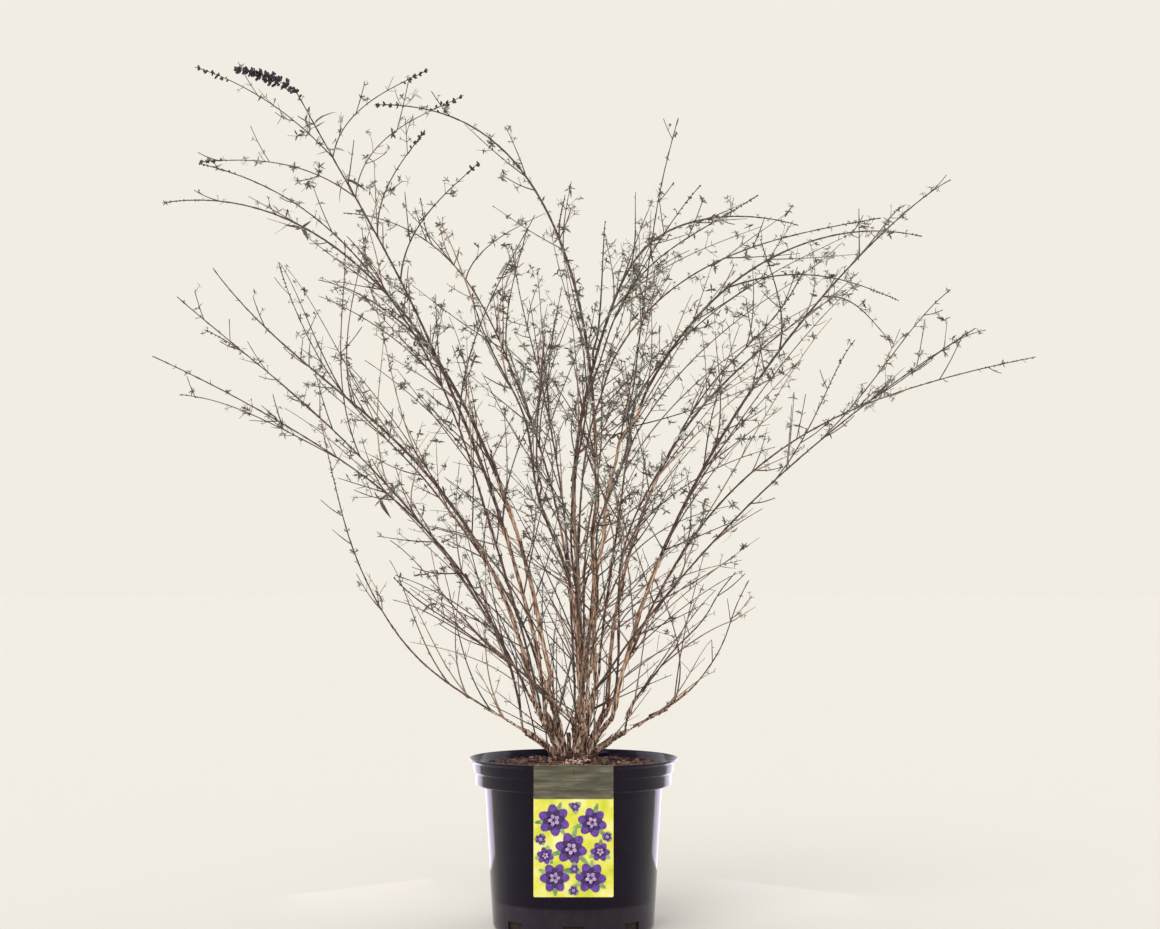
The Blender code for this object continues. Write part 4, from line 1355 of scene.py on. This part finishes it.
def build_strips():
    """Curling strips on the main stems and the feet of the canes."""
    rng = random.Random(9)
    pile = Pile()
    hosts = [(stem, 0.25, 0.95) for stem in stems.values()] + [(limb, 0.04, 0.3) for limb in canes]
    for limb, low, high in hosts:
        _, across, up = frames(limb.path)
        for _ in range(rng.randint(*STRIPS_PER_LIMB)):
            length = rng.uniform(*STRIP_LENGTH) * MM
            width = rng.uniform(*STRIP_WIDTH) * MM
            start = rng.uniform(low, high) * limb.length
            end = min(start + length, limb.length - STEP)
            turn, upward = rng.uniform(0, 2 * math.pi), rng.random() < 0.6
            curl = rng.uniform(0.8, 3.2) * MM
            t = np.linspace(0, 1, 7)
            at = (start + (end - start) * t) / STEP
            lifted = (t if upward else 1 - t) ** 2.2 * curl
            centre = sampled(limb.path, at)
            radius = np.interp(at, np.arange(len(limb.path)), limb.radius) + 0.35 * MM + lifted
            side, high_way = sampled(across, at), sampled(up, at)
            rows = []
            for offset in (-1, 0, 1):
                angle = turn + offset * width / 2 / (limb.radius.mean() + 1 * MM) + 0.3 * t
                way = np.cos(angle)[:, None] * side + np.sin(angle)[:, None] * high_way
                rows.append(centre + way * (radius + (offset == 0) * 0.25 * MM)[:, None])
            points = np.stack(rows, axis=1).reshape(-1, 3)
            faces = [(3 * k + s, 3 * k + s + 1, 3 * k + s + 4, 3 * k + s + 3)
                     for k in range(6) for s in (0, 1)]
            places = np.array([[(points[n][0], points[n][2]) for n in face] for face in faces])
            pile.add(points, faces, rng.choice((0, 0, 1)), places)
    return pile.build("bark_strips", BARK_FINISHES[:2])


build_strips()

# %% [markdown]
# ## Shoots, twigs and whips
# Young wood is only a few millimetres thick at most, so four to seven sides are enough. Its
# colour runs from red-brown to grey, and each twig has one plain tone of its own, dealt out at
# random.

# %% Twigs
TWIG_FINISHES = [
    grained("grey_brown_twigs", [(0.35, "332A26"), (0.65, "5A4C45")], 3, 0.1, Roughness=0.85),
    grained("red_brown_twigs", [(0.35, "4A342D"), (0.65, "75594E")], 3, 0.1, Roughness=0.85),
    grained("ash_grey_twigs", [(0.35, "6E645F"), (0.65, "8F847C")], 3, 0.1, Roughness=0.85),
    grained("tan_twigs", [(0.35, "8C6F5E"), (0.65, "B09580")], 3, 0.1, Roughness=0.85),
]
TWIG_SHARES = {"shoot": (5, 3, 1, 0), "twig": (4, 3, 2, 1), "whip": (3, 3, 2, 2)}
SLIMMER = {"shoot": (0.9, 0.7), "twig": (0.75, 0.65), "whip": (0.9, 0.85)}


def build_twigs():
    """Side shoots, twigs, whips and the finest twigs in three pieces."""
    rng = random.Random(41)
    made = []
    for name, groups in (
            ("shoots_and_twigs", ((shoots, 7, 4, "shoot"), (twigs, 6, 4, "twig"))),
            ("whips", ((whips, 5, 5, "whip"),)),
            ("finest_twigs", ((fine, 4, 5, "twig"),))):
        pile = Pile()
        for limbs, sides, step, kind in groups:
            for limb in limbs:
                finish = rng.choices(range(4), TWIG_SHARES[kind])[0]
                tube(pile, limb, sides, step * MM, 0, finish, 0, 0.15, SLIMMER[kind])
        made.append(pile.build(name, TWIG_FINISHES))
    return made


twig_pieces = build_twigs()
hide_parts(*[f"twigs_{number:02d}" for number in range(1, len(CANES) + 1)])

# %% [markdown]
# ## Leaf tufts
# In winter the bush keeps small tufts of felted grey-green leaves on short spurs at its nodes;
# other spurs are bare. The leaves are narrow and pointed, mostly under 12 mm long, stand in
# opposite pairs, of which some are lost, and curl back. Each is a folded blade of eight faces in
# its own outline. One of four colours is dealt to each tuft, and its inner leaves are given a
# darker colour: painted shade in the middle of the tuft. The crown is nearly bare just over the
# pot and leafiest in its heart. All leaves are worked out at once as arrays and joined.

# %% Leaf finishes
# Felted leaves scatter light softly: roughness 0.8 and hardly any gloss. IOR of leaf tissue 1.42.
LEAF_FINISHES = [
    grained("felted_grey_green_leaves", [(0.35, "74786B"), (0.65, "969A8B")], 4, 0.1,
            Roughness=0.8, IOR=1.42),
    grained("dark_green_leaves", [(0.35, "454940"), (0.65, "666A5D")], 4, 0.1,
            Roughness=0.75, IOR=1.42),
    grained("silvery_leaves", [(0.35, "A3A69C"), (0.65, "C2C4BA")], 4, 0.1,
            Roughness=0.85, IOR=1.42),
    grained("purple_brown_leaves", [(0.35, "4D4344"), (0.65, "6E5F5D")], 4, 0.1,
            Roughness=0.8, IOR=1.42),
]
LEAF_SHARES = (5, 4, 2, 2)
# The darker finish given to a tuft's inner leaves, for each outer finish: painted shade.
INNER_SHADE_FINISH = (1, 3, 0, 3)
LOST_LEAVES = 0.18
LEAF_STATIONS = np.array([0, 0.22, 0.5, 0.78, 1.0])
LEAF_WIDTHS = np.array([0.16, 0.8, 1.0, 0.62])
LEAF_FOLD = 0.35


def blades(roots, ways, faces_up, lengths, widths, droops, pile, finishes):
    """Many leaves at once: a folded, curling blade from each root."""
    roots, ways, faces_up = np.array(roots), np.array(ways), np.array(faces_up)
    lengths, widths, droops = (np.array(v)[:, None] for v in (lengths, widths, droops))
    side = np.cross(ways, faces_up)
    t = LEAF_STATIONS[None, :]
    spine = (roots[:, None] + ways[:, None] * (lengths * t)[:, :, None]
             - faces_up[:, None] * (droops * lengths * t ** 2)[:, :, None])
    half = widths / 2 * LEAF_WIDTHS[None, :]
    lift = faces_up[:, None] * (half * LEAF_FOLD)[:, :, None]
    left = spine[:, :4] - side[:, None] * half[:, :, None] + lift
    right = spine[:, :4] + side[:, None] * half[:, :, None] + lift
    blade = np.stack([left, spine[:, :4], right], axis=2).reshape(len(roots), 12, 3)
    points = np.concatenate([blade, spine[:, 4:]], axis=1)
    quads = np.array([(3 * k + s, 3 * k + s + 1, 3 * k + s + 4, 3 * k + s + 3)
                      for k in range(3) for s in (0, 1)])
    tips = np.array([(9, 10, 12), (10, 11, 12)])
    base = (np.arange(len(roots)) * 13)[:, None, None]
    count = pile.count
    pile.add(points.reshape(-1, 3), (quads[None] + base).reshape(-1, 4),
             np.repeat(finishes, len(quads)))
    pile.faces += (tips[None] + base + count).reshape(-1, 3).tolist()
    pile.finish.append(np.repeat(finishes, 2))
    pile.places.append(np.zeros((len(roots) * 6, 2)))


class Foliage:
    """Leaves waiting to be built, and the spurs that carry them."""

    def __init__(self):
        self.rows, self.finishes, self.spurs, self.tufts = [], [], [], 0

    def tuft(self, root, axis, pairs, longest, droop, rng):
        """Opposite pairs of leaves on one point, the inner ones smaller, upright and darker:
        painted shade.
        """
        self.tufts += 1
        finish = rng.choices(range(4), LEAF_SHARES)[0]
        across = unit(np.cross(axis, SLANT))
        up = np.cross(axis, across)
        turn = rng.uniform(0, math.pi)
        for pair in range(pairs):
            inner = pair / max(pairs, 1)
            for sign in (0, math.pi):
                if pairs > 1 and rng.random() < LOST_LEAVES:
                    continue
                angle = turn + sign + rng.gauss(0, 0.4)
                opened = math.radians((76 - 46 * inner) * rng.uniform(0.6, 1.25))
                out = math.cos(angle) * across + math.sin(angle) * up
                way = math.cos(opened) * axis + math.sin(opened) * out
                face = unit(axis - way * axis.dot(way))
                length = longest * (1 - 0.5 * inner) * rng.uniform(0.55, 1.15)
                self.rows.append((root, way, face, length, length * rng.uniform(0.23, 0.34),
                                  droop * rng.uniform(0, 2.2)))
                # The inner leaves take a darker finish: painted shade in the middle of the tuft.
                self.finishes.append(finish if inner < 0.5 else INNER_SHADE_FINISH[finish])
            turn += math.pi / 2


# %% Place the tufts
TALLEST = 7
NODE_STEP = (20, 36)
TUFT_CHANCE = {"cane": 0.38, "shoot": 0.46, "twig": 0.5, "whip": 0.34, "fine": 0.34}
SPUR_LENGTH = (1.5, 9)
LEAF_LENGTH = (4.5, 11)
LARGE_LEAF = 16
LARGE_SHARE = 0.02
TUFT_PAIRS = (3, 3, 4, 4, 5)
TIP_PAIRS = (1, 2, 2)
TIP_LEAF = (5, 11)
LEAVES_IN_A_PIECE = 13000
CLUMPS = 0.35
BARE_SPURS = 0.4
HANGING_LEAVES = [
    # distance under the tip of the tallest cane and length, in millimetres
    (42, 24), (54, 34), (62, 30), (96, 26), (140, 22),
]
SPUR_RADIUS = 0.5 * MM
QUIET_FOOT = GROUND + 110 * MM
FULL_CROWN = GROUND + 330 * MM
HEART_AT = 860 * MM
HEART_DEPTH = 120 * MM
HEART_REACH = 300 * MM
HEART_GAIN = 0.9


def risen(point):
    """0 over the pot, 1 in the full crown."""
    return np.clip((point[2] - QUIET_FOOT) / (FULL_CROWN - QUIET_FOOT), 0, 1)


def leafiness(point):
    """How leafy a place is: bare near the pot, full above, fullest in the heart of the crown."""
    near = math.exp(-((point[2] - HEART_AT) / HEART_DEPTH) ** 2)
    near *= math.exp(-(math.hypot(point[0], point[1]) / HEART_REACH) ** 4)
    return (0.12 + 0.88 * risen(point)) * (1 + HEART_GAIN * near)


def place_tufts():
    """Tufts or bare spurs at the nodes of every limb, and one tuft at every tip."""
    rng = random.Random(63)
    foliage = Foliage()
    kinds = [("cane", canes, 0.3), ("shoot", shoots, 0.05), ("twig", twigs, 0.1),
             ("whip", whips, 0.2), ("fine", fine, 0.35)]
    for kind, limbs, bare in kinds:
        for limb in limbs:
            place = bare * limb.length + rng.uniform(2, 15) * MM
            turn = rng.uniform(0, math.pi)
            while place < limb.length - limb.spike:
                i = round(place / STEP)
                if i >= len(limb.path):
                    break
                point = limb.path[i]
                along = limb.direction(i)
                across = unit(np.cross(along, SLANT))
                up = np.cross(along, across)
                share = place / limb.length
                size = 1.05 - 0.35 * share * (kind in ("cane", "shoot"))
                size = (0.6 + 0.4 * risen(point)) * size
                for sign in (0, math.pi):
                    leafy = rng.random() < TUFT_CHANCE[kind] * leafiness(point)
                    if not leafy and rng.random() > BARE_SPURS:
                        continue
                    angle = turn + sign + rng.gauss(0, 0.2)
                    out = math.cos(angle) * across + math.sin(angle) * up
                    axis = unit(along * rng.uniform(0.3, 1.0) + out + (0, 0, 0.25))
                    spur = rng.uniform(*SPUR_LENGTH) * MM * size
                    tip = point + axis * (limb.radius[i] + spur)
                    foliage.spurs.append((point, tip))
                    if not leafy:
                        continue
                    longest = rng.uniform(*LEAF_LENGTH) * MM * size
                    if share < 0.8 and rng.random() < LARGE_SHARE:
                        foliage.tuft(tip, axis, 2, LARGE_LEAF * MM * size, 0.8, rng)
                    else:
                        foliage.tuft(tip, axis, rng.choice(TUFT_PAIRS), longest, 0.4, rng)
                    if rng.random() < CLUMPS:
                        foliage.tuft(point + out * limb.radius[i], unit(out + along), 2,
                                     longest * 0.7, 0.4, rng)
                turn += math.pi / 2
                place += rng.uniform(*NODE_STEP) * MM
            if not limb.spike:
                end = limb.path[-1]
                longest = rng.uniform(*TIP_LEAF) * MM
                foliage.tuft(end, limb.direction(len(limb.path)), rng.choice(TIP_PAIRS), longest,
                             0.2, rng)
    tallest = canes[TALLEST - 1]
    for under, length in HANGING_LEAVES:
        i = round((tallest.length - under * MM) / STEP)
        foliage.tuft(tallest.path[i], tallest.direction(i), 1, length * MM, 0.9, rng)
    return foliage


def build_foliage():
    """The joined leaves, in pieces that stay small enough, and their spurs."""
    foliage = place_tufts()
    columns = [np.array(column) for column in zip(*foliage.rows)]
    finishes = np.array(foliage.finishes)
    made = []
    for number, start in enumerate(range(0, len(finishes), LEAVES_IN_A_PIECE), 1):
        pile = Pile()
        end = start + LEAVES_IN_A_PIECE
        part = [column[start:end] for column in columns]
        blades(*part, pile, finishes[start:end])
        made.append(pile.build(f"leaf_tufts_{number}", LEAF_FINISHES))
    rng = random.Random(3)
    pile = Pile()
    for root, tip in foliage.spurs:
        path = np.linspace(root, tip, 3)
        spur = Limb(path, SPUR_RADIUS, SPUR_RADIUS * 0.7, 0)
        tube(pile, spur, 3, 10 * MM, 0, rng.choices(range(4), (3, 3, 2, 1))[0])
    pile.build("leaf_spurs", TWIG_FINISHES)
    print("tufts:", foliage.tufts, "leaves:", len(finishes))
    return made


build_foliage()

# %% [markdown]
# ## Spent flower spikes
# The long flower spikes dried in autumn and hold their seed capsules: dark purple-brown, oval,
# 2 to 7 mm long, in crowded whorls. A capsule is a small drawn-out ball, copied as arrays round
# the end of each flowering shoot, dense on the first shoot of the tallest cane and sparse on the
# others. Many of the other tips carry a few beads.

# %% Seed capsules
# Dry capsules are leathery: roughness 0.7. The skin wrinkles at about a millimetre.
CAPSULE_FINISHES = [
    grained("purple_black_capsules", [(0.35, "1E141F"), (0.65, "3A2A38")], 1.5, 0.5, Roughness=0.7),
    grained("brown_capsules", [(0.35, "33241F"), (0.65, "574038")], 1.5, 0.5, Roughness=0.75),
    grained("dusky_capsules", [(0.35, "3C3440"), (0.65, "5D5260")], 1.5, 0.5, Roughness=0.75),
]
CAPSULE_SHARES = (6, 2, 2)


def ball():
    """Points and faces of a small ball with eighty faces."""
    mesh_data = bmesh.new()
    bmesh.ops.create_icosphere(mesh_data, subdivisions=2, radius=1)
    points = np.array([vert.co[:] for vert in mesh_data.verts])
    faces = np.array([[vert.index for vert in face.verts] for face in mesh_data.faces])
    mesh_data.free()
    return points, faces


FULL = {"reach": 9.5, "count": 34, "step": (8.0, 10.5), "size": (1.3, 2.5), "depth": 3.2}
SPARSE = {"reach": 4.4, "count": 7, "step": (8.0, 10.5), "size": (1.1, 2.1), "depth": 2.0}
BEADS = {"reach": 1.8, "count": 2, "step": (5.0, 10.0), "size": (0.7, 1.3), "depth": 1.0}
BEADED_SHARE = 0.6
BEADED_LENGTH = (35, 100)


def whorls(pile, limb, length, habit, form, rng):
    """Whorls of capsules round the end of a limb, smaller towards the tip."""
    points, faces = form
    place = limb.length - length
    while place < limb.length:
        i = min(round(place / STEP), len(limb.path) - 1)
        along = limb.direction(i)
        across = unit(np.cross(along, SLANT))
        up = np.cross(along, across)
        share = 1 - (limb.length - place) / length
        centre = sampled(limb.path, [place / STEP])[0]
        reach = habit["reach"] * (1 - 0.55 * share ** 2) * min(1, 0.5 + share * 3)
        for _ in range(round(habit["count"] * min(1, 0.35 + share * 2))):
            angle = rng.uniform(0, 2 * math.pi)
            out = math.cos(angle) * across + math.sin(angle) * up
            size = rng.uniform(*habit["size"])
            depth = rng.uniform(-1, 1) * habit["depth"]
            spot = centre + (out * rng.uniform(0.15, 1) * reach + along * depth) * MM
            turn = np.array(Vector(unit(out + along * 0.5)).to_track_quat("Z", "Y").to_matrix())
            grown = points * (size * 0.75, size * 0.75, size * 1.35) * MM
            pile.add(grown @ turn.T + spot, faces, rng.choices(range(3), CAPSULE_SHARES)[0])
        place += rng.uniform(*habit["step"]) * MM


def build_spikes():
    """One full spike, sparse ones on the other flowering tips and beads on many of the rest."""
    rng = random.Random(55)
    form = ball()
    pile = Pile()
    for limb in canes + shoots:
        if limb.spike:
            whorls(pile, limb, limb.spike, FULL if limb is shoots[0] else SPARSE, form, rng)
        elif rng.random() < BEADED_SHARE:
            whorls(pile, limb, rng.uniform(*BEADED_LENGTH) * MM, BEADS, form, rng)
    return pile.build("seed_capsules", CAPSULE_FINISHES)


build_spikes()
